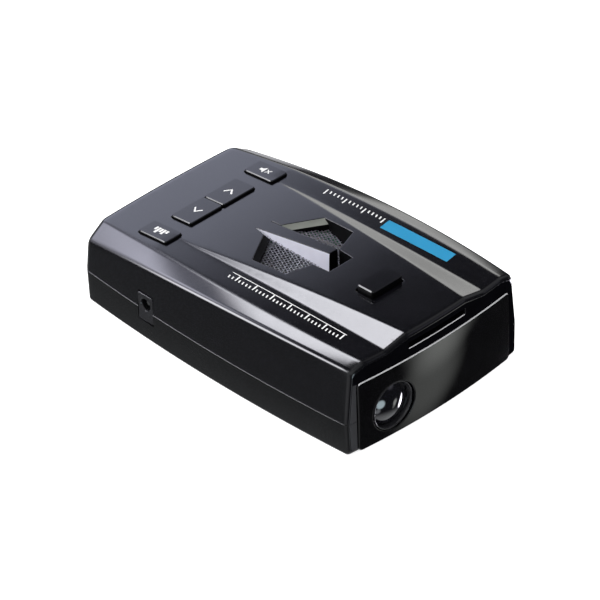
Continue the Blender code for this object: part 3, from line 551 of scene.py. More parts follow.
def circuit_board(name, colour):
    """Solder-masked board: copper tracks under the mask, pads and a glass weave."""
    n = Nodes(name)
    brick = n.add("TexBrick", n.place, offset=0.35)
    brick.inputs["Scale"].default_value = 420.0
    brick.inputs["Mortar Size"].default_value = 0.035
    brick.inputs["Color1"].default_value = (*colour, 1)
    brick.inputs["Color2"].default_value = (*tinted(colour, 0.82), 1)
    red, green, blue = colour
    brick.inputs["Mortar"].default_value = (red * 1.5 + 0.02, green * 1.9, blue * 1.5, 1)
    weave = n.noise(2600.0, 2.0)
    n.surface(n.mix(n.spread(weave, 0, 0.35), brick.outputs["Color"], tinted(colour, 0.6)),
              n.spread(weave, 0.3, 0.45))
    n.bump(brick.outputs["Fac"], 0.00002, 0.5)
    return n.material


def print_ink(name, colour):
    """Pad-printed ink: slightly uneven cover with pinholes."""
    n = Nodes(name)
    cover = n.noise(5200.0, 3.0)
    n.surface(n.mix(n.spread(cover, 0, 1, 0.2, 0.5), tinted(colour, 0.7), colour),
              n.spread(cover, 0.5, 0.65))
    n.bump(cover, 0.000004)
    return n.material


CASE = plastic("case_satin", (0.0022, 0.0022, 0.0032), 0.15, smudge=0.015)
CASE_LOW = plastic("case_lower_satin", (0.002, 0.002, 0.0024), 0.24, smudge=0.015)
KEY = plastic("key_satin", (0.0022, 0.0022, 0.0032), 0.15, smudge=0.015, level=0.36)
# painted shade: the walls of openings, the key and button sides, the notch floor and the inlet bore
# take this near-black, barely reflecting copy of the plastic
WALL_PAINTED_SHADE = plastic("opening_wall_painted_shade", (0.0015, 0.0015, 0.0018), 0.5, level=0.1)
# painted light: a lighter grey copy of the case plastic for the front moulding left of the window,
# where it catches the light
STRIP_PAINTED_LIGHT = plastic("front_frame_painted_light", (0.022, 0.022, 0.025), 0.4, vary=0.06, level=0.2)
# painted shade: a matt black copy of the case plastic without reflections, for the front face and
# the right front corner
FRONT_PAINTED_SHADE = plastic("front_face_painted_shade", (0.0016, 0.0016, 0.0022), 0.3, level=0.0)
# painted highlight: light grey on the window's top bevel and the slot's lower edge, standing in for
# their bright edge highlights
EDGE_PAINTED_HIGHLIGHT = plastic("edge_painted_highlight", (0.62, 0.62, 0.64), 0.3, vary=0.06)
# painted highlight: bright lavender on the blade's left face, standing in for the light it catches
BLADE_PAINTED_LIGHT = plastic("blade_painted_highlight", (0.8, 0.8, 0.92), 0.34, vary=0.04)
# painted highlight: grey-green on the right lobe's ledge wall, standing in for the light it catches
LEDGE_PAINTED_LIGHT = plastic("ledge_painted_highlight", (0.19, 0.20, 0.18), 0.4, vary=0.06)
WINDOW = glass("window_acrylic", (0.0006, 0.0006, 0.0008), 0.03, level=0.45)
LENS = glass("lens_glass", (0.001, 0.001, 0.002), 0.015, level=1.0)
RING = plastic("ring_gloss", (0.012, 0.012, 0.014), 0.14, smudge=0.02)
ZINC = metal("cast_zinc", (0.5, 0.5, 0.52), 0.42, depth=0.00002, scale=1800.0)
STEEL = metal("plated_steel", (0.58, 0.58, 0.57), 0.3, (1, 0.06, 1))
WIRE_MESH = metal("woven_steel", (0.38, 0.38, 0.42), 0.36, scale=9000.0)
BOARD = circuit_board("board_mask", (0.02, 0.13, 0.06))
CHIP = plastic("chip_epoxy", (0.03, 0.03, 0.03), 0.5, grain=0.08, depth=0.000008)
NYLON = plastic("nylon_natural", (0.72, 0.7, 0.64), 0.45, vary=0.05)
PAPER = plastic("cone_pulp", (0.05, 0.05, 0.05), 0.85, grain=0.3, depth=0.00003, vary=0.35)
WIRE_RED = plastic("wire_red_pvc", (0.5, 0.03, 0.03), 0.42)
WIRE_BLACK = plastic("wire_black_pvc", (0.02, 0.02, 0.02), 0.42)
LABEL = plastic("label_polyester", (0.5, 0.5, 0.51), 0.42, vary=0.04)
DISPLAY = glass("display_glass", (0.01, 0.02, 0.03), 0.05)
WHITE_INK = print_ink("ink_white", (0.8, 0.8, 0.8))
CYAN_INK = print_ink("ink_cyan", (0.0, 0.22, 0.42))

# The materials of the two covers and the numbers of their slots, painted shade, painted light and
# painted highlights among them. The slot of the painted shade on walls is the same on the keys.
TOP_MATERIALS = [CASE, WALL_PAINTED_SHADE, BLADE_PAINTED_LIGHT, LEDGE_PAINTED_LIGHT, STRIP_PAINTED_LIGHT, FRONT_PAINTED_SHADE, EDGE_PAINTED_HIGHLIGHT]
LOW_MATERIALS = [CASE_LOW, WALL_PAINTED_SHADE, STRIP_PAINTED_LIGHT, FRONT_PAINTED_SHADE]
SHADE_WALL_SLOT, BLADE_LIGHT_SLOT, LEDGE_LIGHT_SLOT, LIT_STRIP_SLOT, FRONT_SHADE_SLOT, HIGHLIGHT_SLOT = range(1, 7)
LOW_LIT_STRIP_SLOT, LOW_FRONT_SHADE_SLOT = 2, 3

FINISHES = {
    "case_black": CASE, "case_lower_black": CASE_LOW, "window_black": WINDOW, "lens_glass": LENS,
    "ring_black": RING, "key_black": KEY, "zinc": ZINC, "steel": STEEL, "mesh_steel": WIRE_MESH,
    "board_green": BOARD, "chip_black": CHIP, "nylon_white": NYLON, "cone_paper": PAPER,
    "wire_red": WIRE_RED, "wire_black": WIRE_BLACK, "label_silver": LABEL, "display_glass": DISPLAY,
}


def base_name(name):
    return name.split(".")[0]


def finish_cad_nodes():
    """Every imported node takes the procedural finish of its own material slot."""
    for obj in [o for o in bpy.data.objects if o.type == "MESH"]:
        for place in obj.material_slots:
            if place.material and base_name(place.material.name) in FINISHES:
                place.material = FINISHES[base_name(place.material.name)]


finish_cad_nodes()


# ---- the two covers ----
def stations(middle_steps=44, end_steps=7):
    """(t, share of the front rounding, share of the rear rounding), front to rear, with a
    station at each side of the inlet."""
    first, last = FRONT_ROUND[2] / LENGTH, 1 - REAR_ROUND[2] / LENGTH
    quarter = pi / 2
    made = []
    for k in range(end_steps):
        angle = quarter * (1 - k / end_steps)
        made.append((first * (1 - sin(angle)), 1 - cos(angle), 0.0))
    middle = [first + (last - first) * k / middle_steps for k in range(middle_steps + 1)]
    for side in (-1, 1):
        wanted = (JACK_Y + side * (JACK_HALF + JACK_CLEAR) - FRONT_Y) / LENGTH
        nearest = min(range(1, middle_steps), key=lambda k: abs(middle[k] - wanted))
        middle[nearest] = wanted
    made += [(t, 0.0, 0.0) for t in middle]
    for k in range(1, end_steps + 1):
        angle = quarter * k / end_steps
        made.append((last + (1 - last) * sin(angle), 0.0, 1 - cos(angle)))
    return made


def case_point(x, z, t, front_share, rear_share):
    """A point of an outline at t, pulled in by the end rounding and bowed with the end."""
    across = FRONT_ROUND[0] * front_share + REAR_ROUND[0] * rear_share
    height = FRONT_ROUND[1] * front_share + REAR_ROUND[1] * rear_share
    wide, top = along(HALF_WIDTH, t), along(CENTRE_Z, t)
    x *= (wide - across) / wide
    if z > SEAM_Z:
        z = SEAM_Z + (z - SEAM_Z) * (top - SEAM_Z - height) / (top - SEAM_Z)
    else:
        z = SEAM_Z - (SEAM_Z - z) * (SEAM_Z - height) / SEAM_Z
    return Vector((x, FRONT_Y + LENGTH * t + end_bow(x, t), z))


def side_rows(profile, sign):
    """Rows of points along the case for one side wall."""
    columns = [[case_point(p.x * sign, p.y, *s) for p in profile(s[0])] for s in stations()]
    return list(map(list, zip(*columns)))


def add_side(bm, profile, sign):
    """One side wall, with the inlet's opening left out on the left. Gives its last row."""
    rows = side_rows(profile, sign)
    grid_verts = [[bm.verts.new(p) for p in row] for row in rows]
    reach = JACK_HALF + JACK_CLEAR + 0.1
    for i, (first, second) in enumerate(zip(grid_verts, grid_verts[1:])):
        for j in range(len(first) - 1):
            centre = (first[j].co.y + first[j + 1].co.y) / 2
            if sign < 0 and i < JACK_ROWS and abs(centre - JACK_Y) < reach:
                continue
            bm.faces.new((first[j], first[j + 1], second[j + 1], second[j]))
    return rows[-1]


def jack_frame(bm, profile):
    """The opening's own walls, going into the case."""
    rows = side_rows(profile, -1)[:JACK_ROWS + 1]
    inward = Vector((2.0, 0, 0))
    ys = [FRONT_Y + LENGTH * s[0] for s in stations()]
    columns = [j for j, y in enumerate(ys)
               if abs(abs(y - JACK_Y) - JACK_HALF - JACK_CLEAR) < 0.001]
    edges = [[row[j] for row in rows] for j in columns]
    for edge in [*edges, rows[-1][columns[0]:columns[-1] + 1]]:
        drop(bm, [bm.verts.new(p) for p in edge], inward, SHADE_WALL_SLOT, closed=False)


def end_grid(bm, profiles, places):
    """The rounded ends between the walls: whole rows of the top or floor at each station."""
    rows = []
    for s in places:
        edge = profiles[0](s[0])[-1]
        half = [edge, *profiles[1](s[0])]
        left = [Vector((-p.x, p.y)) for p in reversed(half[:-1])]
        rows.append([bm.verts.new(case_point(p.x, p.y, *s)) for p in [*half, *left]])
    grid(bm, rows)
    return [v.co.copy() for v in rows[0]], [v.co.copy() for v in rows[-1]]


def end_stations():
    """The stations of the rounded front, of the rounded rear and of the straight part."""
    front = [s for s in stations() if s[1] > 0]
    rear = [s for s in stations() if s[2] > 0]
    middle = [s for s in stations() if s[1] == 0 and s[2] == 0]
    return [*front, middle[0]], [middle[-1], *rear], middle


def outline_at(profiles, s):
    """The whole outline of a cover at a station, from the right of the seam over to the left."""
    half = [*profiles[0](s[0]), *profiles[1](s[0])]
    left = [Vector((-p.x, p.y)) for p in reversed(half[:-1])]
    return [case_point(p.x, p.y, *s) for p in [*half, *left]]


def cover_walls(bm, profiles):
    """Both side walls, the inlet's opening and the rounded ends of a cover. Gives the outline
    of the face between them and the row of points where the rounded front ends."""
    edges = [add_side(bm, profiles[0], sign) for sign in (-1, 1)]
    jack_frame(bm, profiles[0])
    front, rear, middle = end_stations()
    front_row = end_grid(bm, profiles, front)[1]
    rear_row = end_grid(bm, profiles, rear)[0]
    skip = len(front) - 1
    left, right = [[Vector(p[:2]) for p in edge[skip:skip + len(middle)]] for edge in edges]
    boundary = [Vector(p[:2]) for p in reversed(front_row)] + right[1:-1]
    boundary += [Vector(p[:2]) for p in rear_row] + left[-2:0:-1]
    return boundary, front_row


def end_face(bm, outline, opening, place, into, depth, extra=()):
    """An end face between the cover's outline and a window opening that meets the seam.
    outline and opening both run from the right of the seam round to its left. extra is what
    hole() gave for the openings in the face. The front's moulding carries painted light: a
    lighter grey copy of the plastic on the left of the window, the side the camera looks from,
    and painted shade, a matt black copy without reflections, above it and on the right."""
    inner = [Vector((p.x, p.z)) for p in outline]
    closed = [*opening, *inner[::-1]]
    if polygon_area(closed) < 0:
        closed.reverse()
    before = set(bm.faces)
    fill(bm, closed, extra, place, 1.3)
    # painted light on the front left of the window, painted shade on the rest of the front
    if into is TO_DRIVER:
        for face in set(bm.faces) - before:
            middle = face.calc_center_median()
            beside = -middle.x > WINDOW_HALF + WINDOW_CLEAR and middle.z < WINDOW_HIGH
            face.material_index = LIT_STRIP_SLOT if beside else FRONT_SHADE_SLOT
    drop(bm, [bm.verts.new(place(*p)) for p in opening], into * depth, SHADE_WALL_SLOT, closed=False)


def polygon_area(loop):
    return sum(a.x * b.y - b.x * a.y for a, b in zip(loop, [*loop[1:], loop[0]])) / 2


def window_path(half, end_z, corner, start_z, sign=1, segments=6):
    """Round a window opening: from the right of the seam, over its corners, to the left.
    sign is 1 for the part above the seam and -1 for the part below."""
    points = [Vector((half, start_z))]
    for turn in (0, 1):
        cx = (half - corner) * (1 - 2 * turn)
        for k in range(segments + 1):
            angle = pi / 2 * (turn + k / segments)
            points.append(Vector((cx + corner * cos(angle),
                                  end_z - sign * corner + sign * corner * sin(angle))))
    points.append(Vector((-half, start_z)))
    fine = [points[0]]
    for a, b in zip(points, points[1:]):
        count = max(1, ceil((b - a).length / 1.2))
        fine += [a.lerp(b, k / count) for k in range(1, count + 1)]
    return fine


def mesh_height(y):
    return MESH_Z + MESH_SLOPE * (y - MESH_Y)


def grille_depths(loop_index, here):
    """Where a grille wall's point goes on its way down: at the ledge, and at the mesh."""
    x, y = here
    in_notch = y < -10.5 and -5.0 < x < 5.2
    pivot = Vector((-2.0, 1.0)) if x < 2.4 else Vector((4.0, 0.0))
    low = here.copy() if in_notch else pivot + (here - pivot) * 0.87
    shelf = here.lerp(low, 0.3)
    if loop_index in LEDGES:
        shelf = here + Vector(LEDGES[loop_index])
        low = shelf.copy()
    if loop_index in BLADE_CORNERS:
        low = here + Vector((-0.35 if loop_index in BLADE_CORNERS[2:] else 0.0, 0.0))
        shelf = here.lerp(low, 0.3)
    floor_z = on_top(x, y).z - NOTCH_DEPTH if in_notch else mesh_height(low.y) - 0.25
    return shelf, low, floor_z


def add_grille(bm):
    """The grille's walls: a small rounded edge, the drafted ledges and the drop to the mesh."""
    corners = [Vector(p) for p in GRILLE]
    guides = [grille_depths(i, p) for i, p in enumerate(corners)]
    loop, shelf, low = [], [], []
    for i, a in enumerate(corners):
        j = (i + 1) % len(corners)
        count = max(1, ceil((corners[j] - a).length / 1.0))
        for k in range(count):
            f = k / count
            loop.append(a.lerp(corners[j], f))
            shelf.append(guides[i][0].lerp(guides[j][0], f))
            low_z = guides[i][2] * (1 - f) + guides[j][2] * f
            low.append((*guides[i][1].lerp(guides[j][1], f), low_z, i))
    radius = 0.13
    edge = edge_rings(bm, loop, on_top, DOWN, radius)
    middle = [bm.verts.new((p.x, p.y, on_top(*q).z - LEDGE_DEPTH)) for p, q in zip(shelf, loop)]
    bottom = [bm.verts.new(p[:3]) for p in low]
    # the blade's face and the right ledge take colours that paint their highlights; the other walls
    # and the notch floor take the painted shade
    upper, lower = {BLADE_EDGE: BLADE_LIGHT_SLOT, LEDGE_EDGE: LEDGE_LIGHT_SLOT}, {BLADE_EDGE: BLADE_LIGHT_SLOT}
    for i in range(len(loop)):
        j = (i + 1) % len(loop)
        side = low[i][3]
        for slots, above, below in ((upper, edge, middle), (lower, middle, bottom)):
            face = bm.faces.new((above[i], above[j], below[j], below[i]))
            face.material_index = slots.get(side, SHADE_WALL_SLOT)
    notch = [(-4.88, -10.9), (-4.4, -17.2), (4.5, -17.2), (4.86, -10.9)]
    floor = [bm.verts.new((x, y, on_top(x, y).z - NOTCH_DEPTH + 0.02)) for x, y in notch]
    bm.faces.new(floor).material_index = SHADE_WALL_SLOT
    return offset(loop, radius), offset(loop, radius + 0.1)


def band_guides(first_y, last_y):
    """Lines along the rounded corners of the side bands."""
    lines = []
    for sign in (-1, 1):
        for corner in (0, 1):
            for share in (-1, -0.5, 0, 0.5, 1):
                line = []
                for k in range(61):
                    y = first_y + (last_y - first_y) * k / 60
                    x = sign * 15.0
                    for _ in range(4):
                        t = share_at(x, y)
                        x = sign * (band_lines(t)[corner] + share * band_round(t))
                    line.append(Vector((x, y)))
                lines.append(line)
    return lines


def paint_shade_on_corner(bm, material):
    """The front's painted shade, a matt black copy of the plastic without reflections, goes on
    round the right front corner as far as the faces that turn to the side."""
    bm.normal_update()
    for face in bm.faces:
        middle = face.calc_center_median()
        turned_to_front = abs(face.normal.y) > 0.35
        if face.material_index == 0 and turned_to_front and middle.x > WINDOW_HALF \
                and middle.y < -49 and middle.z < WINDOW_HIGH + 1:
            face.material_index = material


def make_case_top():
    bm = bmesh.new()
    profiles = (wall_profile, top_profile)
    boundary, front_row = cover_walls(bm, profiles)
    openings = [add_grille(bm)]
    for place in [*KEY_OPENINGS, RELEASE_PLACE]:
        openings.append(hole(bm, dense_box(*place, 0.8, 0.8), on_top, DOWN, 0.14, 1.8))
    low_y, high_y = front_row[len(front_row) // 2].y + 1.5, 29.0
    fill(bm, boundary, openings, on_top, 1.5, lines=band_guides(low_y, high_y))
    slot = dense_box(-SLOT_HALF, SLOT_HALF, SLOT_LOW, SLOT_HIGH, 0.25, 0.9)
    slot_loops = hole(bm, slot, on_front, TO_DRIVER, 0.14, 4.0, SHADE_WALL_SLOT, 1)
    # painted highlight: the thin faces along the slot's lower edge take the light grey edge colour
    for face in bm.faces:
        middle = face.calc_center_median()
        if len(face.verts) == 4 and middle.y < -50 and abs(middle.x) < SLOT_HALF - 0.2 \
                and SLOT_LOW - 0.13 < middle.z < SLOT_LOW - 0.01 and face.calc_area() < 0.5:
            face.material_index = HIGHLIGHT_SLOT
    seam = SEAM_Z + SEAM_GAP
    path = window_path(WINDOW_HALF + WINDOW_CLEAR, WINDOW_HIGH + WINDOW_CLEAR, WINDOW_CORNER, seam)
    end_face(bm, outline_at(profiles, stations()[0]), path, on_front, TO_DRIVER, 2.0, [slot_loops])
    path = window_path(DISPLAY_HALF + WINDOW_CLEAR, DISPLAY_HIGH + WINDOW_CLEAR, 1.4, seam)
    end_face(bm, outline_at(profiles, stations()[-1]), path, on_rear, TO_ROAD, 2.0)
    paint_shade_on_corner(bm, FRONT_SHADE_SLOT)
    finish("case_top", bm, TOP_MATERIALS, "case", ["top_cover"], 35)


def make_case_bottom():
    bm = bmesh.new()
    profiles = (floor_profile, under_profile)
    boundary = cover_walls(bm, profiles)[0]

    def on_floor(x, y):
        return Vector((x, y, 0))

    openings = [hole(bm, circle_loop(*place, 2.5, 40), on_floor, UP, 0.2, 3.8)
                for place in BOSS_PLACES]
    openings.append(hole(bm, dense_box(*LABEL_PLACE, 1.2), on_floor, UP, 0.1, 0.4))
    fill(bm, box_loop(*LABEL_PLACE), [], lambda x, y: Vector((x, y, 0.5)), 4.0)
    fill(bm, boundary, openings, on_floor, 2.5)
    seam = SEAM_Z - SEAM_GAP
    outline = outline_at(profiles, stations()[0])
    # below the seam the front also gets painted light on the left and painted shade on the right
    for sign in (-1, 1):
        side = [p for p in outline if p.x * sign > WINDOW_HALF + WINDOW_CLEAR]
        if sign < 0:
            side.reverse()
        edge_x = sign * (WINDOW_HALF + WINDOW_CLEAR)
        low = min(p.z for p in side)
        path = [Vector((edge_x, seam + (low - seam) * k / 8)) for k in range(9)]
        closed = [*path[::-1], *[Vector((p.x, p.z)) for p in side]]
        if polygon_area(closed) < 0:
            closed.reverse()
        fill(bm, closed, [], on_front, 1.0, material=LOW_LIT_STRIP_SLOT if sign < 0 else LOW_FRONT_SHADE_SLOT)
        edge = [bm.verts.new(on_front(*p)) for p in path]
        drop(bm, edge, TO_DRIVER * 2.0, SHADE_WALL_SLOT, closed=False)
    shelf = [bm.verts.new(p) for p in outline if abs(p.x) <= WINDOW_HALF + 0.9]
    drop(bm, shelf, TO_DRIVER * 2.0, SHADE_WALL_SLOT, closed=False)
    path = window_path(DISPLAY_HALF + WINDOW_CLEAR, DISPLAY_LOW - WINDOW_CLEAR, 1.4, seam, -1)
    end_face(bm, outline_at(profiles, stations()[-1]), path, on_rear, TO_ROAD, 2.0)
    paint_shade_on_corner(bm, LOW_FRONT_SHADE_SLOT)
    finish("case_bottom", bm, LOW_MATERIALS, "case", ["bottom_cover"], 35)


# ---- windows and lens ----
def make_front_window():
    """Polished window that follows the bowed front, with the lens recess through it."""
    bm = bmesh.new()

    def on_window(x, z):
        middle = (WINDOW_LOW + WINDOW_HIGH) / 2
        crowned = 1 - ((z - middle) / (WINDOW_HIGH - middle)) ** 2
        return on_front(x, z) + TO_ROAD * WINDOW_PROUD * (1 + crowned) / 2

    loop = dense_box(-WINDOW_HALF, WINDOW_HALF, WINDOW_LOW, WINDOW_HIGH, WINDOW_CORNER, 0.9)
    circle = circle_loop(LENS_X, LENS_Z, LENS_RECESS_R, 72)
    recess = hole(bm, circle, on_window, TO_DRIVER, 0.18, 1.8)
    radius = 0.22
    fill(bm, offset(loop, -radius), [recess], on_window, 1.2,
         [offset(loop, -radius - FOLLOW_GAP)])
    edge = edge_rings(bm, loop, on_window, TO_DRIVER, radius, -1, steps=1)
    # painted highlight: the window's top bevel takes the light grey edge colour
    bm.normal_update()
    for face in bm.faces:
        if 0.3 < abs(face.normal.z) < 0.95 and face.calc_center_median().z > WINDOW_HIGH - 0.5:
            face.material_index = 1
    drop(bm, edge, TO_DRIVER * 1.8)
    materials = [WINDOW, EDGE_PAINTED_HIGHLIGHT]
    finish("front_window_glass", bm, materials, "case", ["front_window"], 35)


def make_rear_window():
    bm = bmesh.new()
    loop = dense_box(-DISPLAY_HALF, DISPLAY_HALF, DISPLAY_LOW, DISPLAY_HIGH, 1.2, 0.9)
    cap(bm, loop, lambda x, z: on_rear(x, z) + TO_DRIVER * 0.5, TO_ROAD, 0.25, 1.6, 1.5)
    finish("rear_window_glass", bm, [WINDOW], "case", ["rear_window"], 35)


def make_lens():
    """A turned bezel and a dome, a part of a sphere whose rim slopes at tilt degrees. The dome
    is 1 mm wider and flatter than the CAD lens, as the photo's highlights need."""
    centre = on_front(LENS_X, LENS_Z)
    steps, base = 96, -4.0
    bezel_r, dome_r, dome_top, tilt = LENS_RECESS_R - 0.3, LENS_R + 0.5, 0.42, 35
    lip = [(0, -2.0), (0, 0.02), (0.04, 0.1), (0.12, 0.14), (0.22, 0.1), (0.32, -0.05)]
    cone = [(0.12, -0.9), (0.06, -1.4), (0.06, base)]
    bm = bmesh.new()
    profile = [(bezel_r - r, z) for r, z in lip] + [(dome_r + r, z) for r, z in cone]
    turned(bm, profile, centre, TO_ROAD, steps)
    finish("lens_bezel", bm, [RING], "case", ["lens_ring"], 50)
    bm = bmesh.new()
    curve = dome_r / sin(radians(tilt))
    dome = [(curve * sin(a), dome_top - curve * (1 - cos(a)))
            for a in (radians(tilt * k / 24) for k in range(25))]
    turned(bm, [*dome, (dome_r, base)], centre, TO_ROAD, steps)
    finish("lens_dome", bm, [LENS], "case", ["laser_lens"], 50, 0.001)


# ---- keys and prints ----
def key_cap(bm, place, clear, corner, proud, bevel, wall):
    """A bevelled cap that follows the top face, smaller than its place by clear on each side."""
    x0, x1, y0, y1 = place
    loop = dense_box(x0 + clear, x1 - clear, y0 + clear, y1 - clear, corner, 0.7)
    # the cap's sides take the painted shade of the opening walls
    cap(bm, loop, lambda x, y: on_top(x, y, proud), DOWN, bevel, wall, 1.2, 1, side=SHADE_WALL_SLOT)


def make_keys():
    for name, place in KEY_PLACES.items():
        bm = bmesh.new()
        key_cap(bm, place, 0.2, 0.65, KEY_PROUD, 0.2, 2.2)
        body = name.replace("_key", "")
        finish(f"{name}_cap", bm, [KEY, WALL_PAINTED_SHADE], body, [name], 35)


def make_release():
    bm = bmesh.new()
    key_cap(bm, RELEASE_PLACE, 0.4, 0.75, RELEASE_PROUD, 0.26, 3.2)
    finish("release_cap", bm, [KEY, WALL_PAINTED_SHADE], "release", ["release_button"], 35)


def make_release_spring():
    """The coil spring between the bracket guide and the latch."""
    bm = bmesh.new()
    middle = (RELEASE_PLACE[2] + RELEASE_PLACE[3]) / 2
    turns, turn_steps, coil_r, wire_r = 2, 28, 2.4, 0.18
    low, high = 19.2, 21.9
    steps = turns * turn_steps
    rings = []
    for k in range(steps + 1):
        angle = 2 * pi * k / turn_steps
        out = Vector((cos(angle), sin(angle), 0))
        centre = Vector((0, middle, low + (high - low) * k / steps)) + out * coil_r
        rings.append(wire_ring(bm, centre, out, wire_r, 8))
    tube(bm, rings)
    bm.faces.new(rings[0])
    bm.faces.new(rings[-1])
    spring = finish("release_spring_coil", bm, [STEEL], None, ["release_spring"], 50,
                    FINE_MERGE)
    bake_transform(spring)


def stroke(points, width):
    """The outline of a line of points with a width."""
    points = [Vector(p) for p in points]
    left, right = [], []
    for i, here in enumerate(points):
        first = (here - points[i - 1]).normalized() if i else (points[1] - here).normalized()
        second = (points[i + 1] - here).normalized() if i < len(points) - 1 else first
        normal = (Vector((first.y, -first.x)) + Vector((second.y, -second.x))).normalized()
        stretch = min(1 / max(normal.dot(Vector((first.y, -first.x))), 0.4), 1.6)
        right.append(here + normal * width / 2 * stretch)
        left.append(here - normal * width / 2 * stretch)
    return [*left, *reversed(right)]


def add_print(bm, loop, lift=INK_LIFT):
    """A thin film of ink that lies on the top face."""
    loop = dense([Vector(p) for p in loop], 0.6)
    if polygon_area(loop) < 0:
        loop.reverse()
    fill(bm, loop, [], lambda x, y: on_top(x, y, lift), 0.8)


def add_ticks(bm, edge_x, long, short, first_y, last_y, pitch):
    """A scale of slanted ticks that start at edge_x, every fifth one long."""
    y, index = first_y, 0
    while y < last_y:
        x0, x1 = sorted((edge_x, edge_x + (short if index % 5 else long)))
        add_print(bm, [(x0, y), (x1, y + 0.35), (x1, y + 0.8), (x0, y + 0.45)])
        y += pitch
        index += 1


def make_prints():
    bm = bmesh.new()
    add_ticks(bm, -23.3, 2.3, 1.1, -40.5, 3.6, 1.35)
    add_print(bm, [(-20.9, -40.5), (-20.65, -40.5), (-20.65, 3.6), (-20.9, 3.6)])
    add_ticks(bm, 25.2, -2.3, -1.2, -9.6, 13.0, 1.5)
    finish("case_print_white", bm, [WHITE_INK], "case", merge=PRINT_MERGE)
    bm = bmesh.new()
    add_print(bm, [(21.6, -36.2), (25.9, -35.6), (25.4, -10.4), (21.1, -11.0)])
    finish("case_print_cyan", bm, [CYAN_INK], "case", merge=PRINT_MERGE)
    lift = KEY_PROUD + INK_LIFT
    for name, add_mark in (("volume_down_key", add_arrow), ("volume_up_key", add_arrow),
                           ("city_key", add_houses), ("mute_key", add_loudspeaker)):
        x0, x1, y0, y1 = KEY_PLACES[name]
        bm = bmesh.new()
        add_mark(bm, (x0 + x1) / 2, (y0 + y1) / 2, lift)
        finish(f"{name}_mark", bm, [WHITE_INK], name.replace("_key", ""), merge=PRINT_MERGE)


def add_arrow(bm, x, y, lift):
    """A chevron that points away from the middle of the case."""
    tip = 0.9 if x < 0 else -0.9
    add_print(bm, stroke([(x + tip, y - 1.5), (x - tip, y), (x + tip, y + 1.5)], 0.5), lift)


def add_houses(bm, x, y, lift):
    """A row of houses of five heights, on a common foot."""
    foot = x + 1.3
    for k, height in enumerate((1.3, 2.3, 1.7, 2.7, 1.5)):
        low = y - 2.6 + 1.05 * k
        add_print(bm, [(foot, low), (foot, low + 0.8), (foot - height, low + 0.8),
                       (foot - height, low)], lift)


def add_loudspeaker(bm, x, y, lift):
    """A crossed loudspeaker. The two strokes of the cross lie at heights of their own."""
    add_print(bm, [(x - 0.5, y + 2.2), (x + 0.5, y + 2.2), (x + 0.5, y + 1.3), (x + 1.4, y + 0.3),
                   (x - 1.4, y + 0.3), (x - 0.5, y + 1.3)], lift)
    for sign in (-1, 1):
        line = [(x - 0.8, y - 1.1 - 0.8 * sign), (x + 0.8, y - 1.1 + 0.8 * sign)]
        add_print(bm, stroke(line, 0.32), KEY_PROUD + INK_LIFT * (1.5 + sign / 2))


# ---- woven grille and inlet ----
def make_weave():
    """Two families of wavy wires that pass over and under each other, on the sloping plane."""
    bm = bmesh.new()
    pitch, crimp, radius = 0.92, 1.04, 0.115
    half_x, half_y = MESH_HALF
    reach = int((half_x + half_y) / pitch) + 1
    for degrees, over in ((69, 1), (-21, -1)):
        angle = radians(degrees)
        way = Vector((cos(angle), sin(angle)))
        across = Vector((-way.y, way.x))
        for row in range(-reach, reach + 1):
            spots = []
            for k in range(-4 * reach, 4 * reach + 1):
                s = k * pitch / 4 * crimp
                p = way * s + across * row * pitch
                under_notch = -5.4 < p.x < 4.8 and p.y + MESH_Y < -9.2
                if abs(p.x) <= half_x and abs(p.y) <= half_y and not under_notch:
                    wave = cos(pi * (s / (pitch * crimp) + row)) * radius * 0.9
                    spots.append((p, wave * over))
            add_wire(bm, spots, across, radius)
    finish("speaker_mesh_weave", bm, [WIRE_MESH], "case", ["speaker_mesh"], 80,
           FINE_MERGE)


def add_wire(bm, spots, across, radius):
    if len(spots) < 3:
        return
    rings = []
    for p, wave in spots:
        y = p.y + MESH_Y
        centre = Vector((p.x, y, mesh_height(y) + wave))
        rings.append(wire_ring(bm, centre, across.to_3d(), radius, 6))
    tube(bm, rings)


def make_jack():
    """Square-faced inlet with a rounded edge, a countersunk round hole and its bore."""
    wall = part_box("power_jack")[0][0] / MM
    bm = bmesh.new()

    def on_jack(y, z):
        return Vector((wall, y, z))

    into = Vector((1, 0, 0))
    loop = dense_box(JACK_Y - JACK_HALF, JACK_Y + JACK_HALF, JACK_LOW, JACK_HIGH, 0.35, 0.8)
    circle = circle_loop(JACK_Y, JACK_HOLE_Z, JACK_HOLE_R + 0.25, 48)
    edge = edge_rings(bm, circle, on_jack, into, 0.12)
    narrow, sunk = 0.88, 0.35
    funnel = [bm.verts.new((v.co.x + sunk, JACK_Y + (v.co.y - JACK_Y) * narrow,
                            JACK_HOLE_Z + (v.co.z - JACK_HOLE_Z) * narrow)) for v in edge]
    bridge(bm, edge, funnel)
    # the bore takes the painted shade of the opening walls
    drop(bm, funnel, into * 8.5, SHADE_WALL_SLOT)
    radius = 0.15
    fill(bm, offset(loop, -radius), [(offset(circle, 0.12), offset(circle, 0.2))], on_jack, 0.8,
         [offset(loop, -radius - 0.06)])
    outer = edge_rings(bm, loop, on_jack, into, radius, -1)
    drop(bm, outer, into * 11.0)
    finish("power_inlet_body", bm, [RING, WALL_PAINTED_SHADE], "case", ["power_jack"], 40)


make_case_top()
make_case_bottom()
make_front_window()
make_rear_window()
make_lens()
make_keys()
make_release()
make_release_spring()
make_prints()
make_weave()
make_jack()


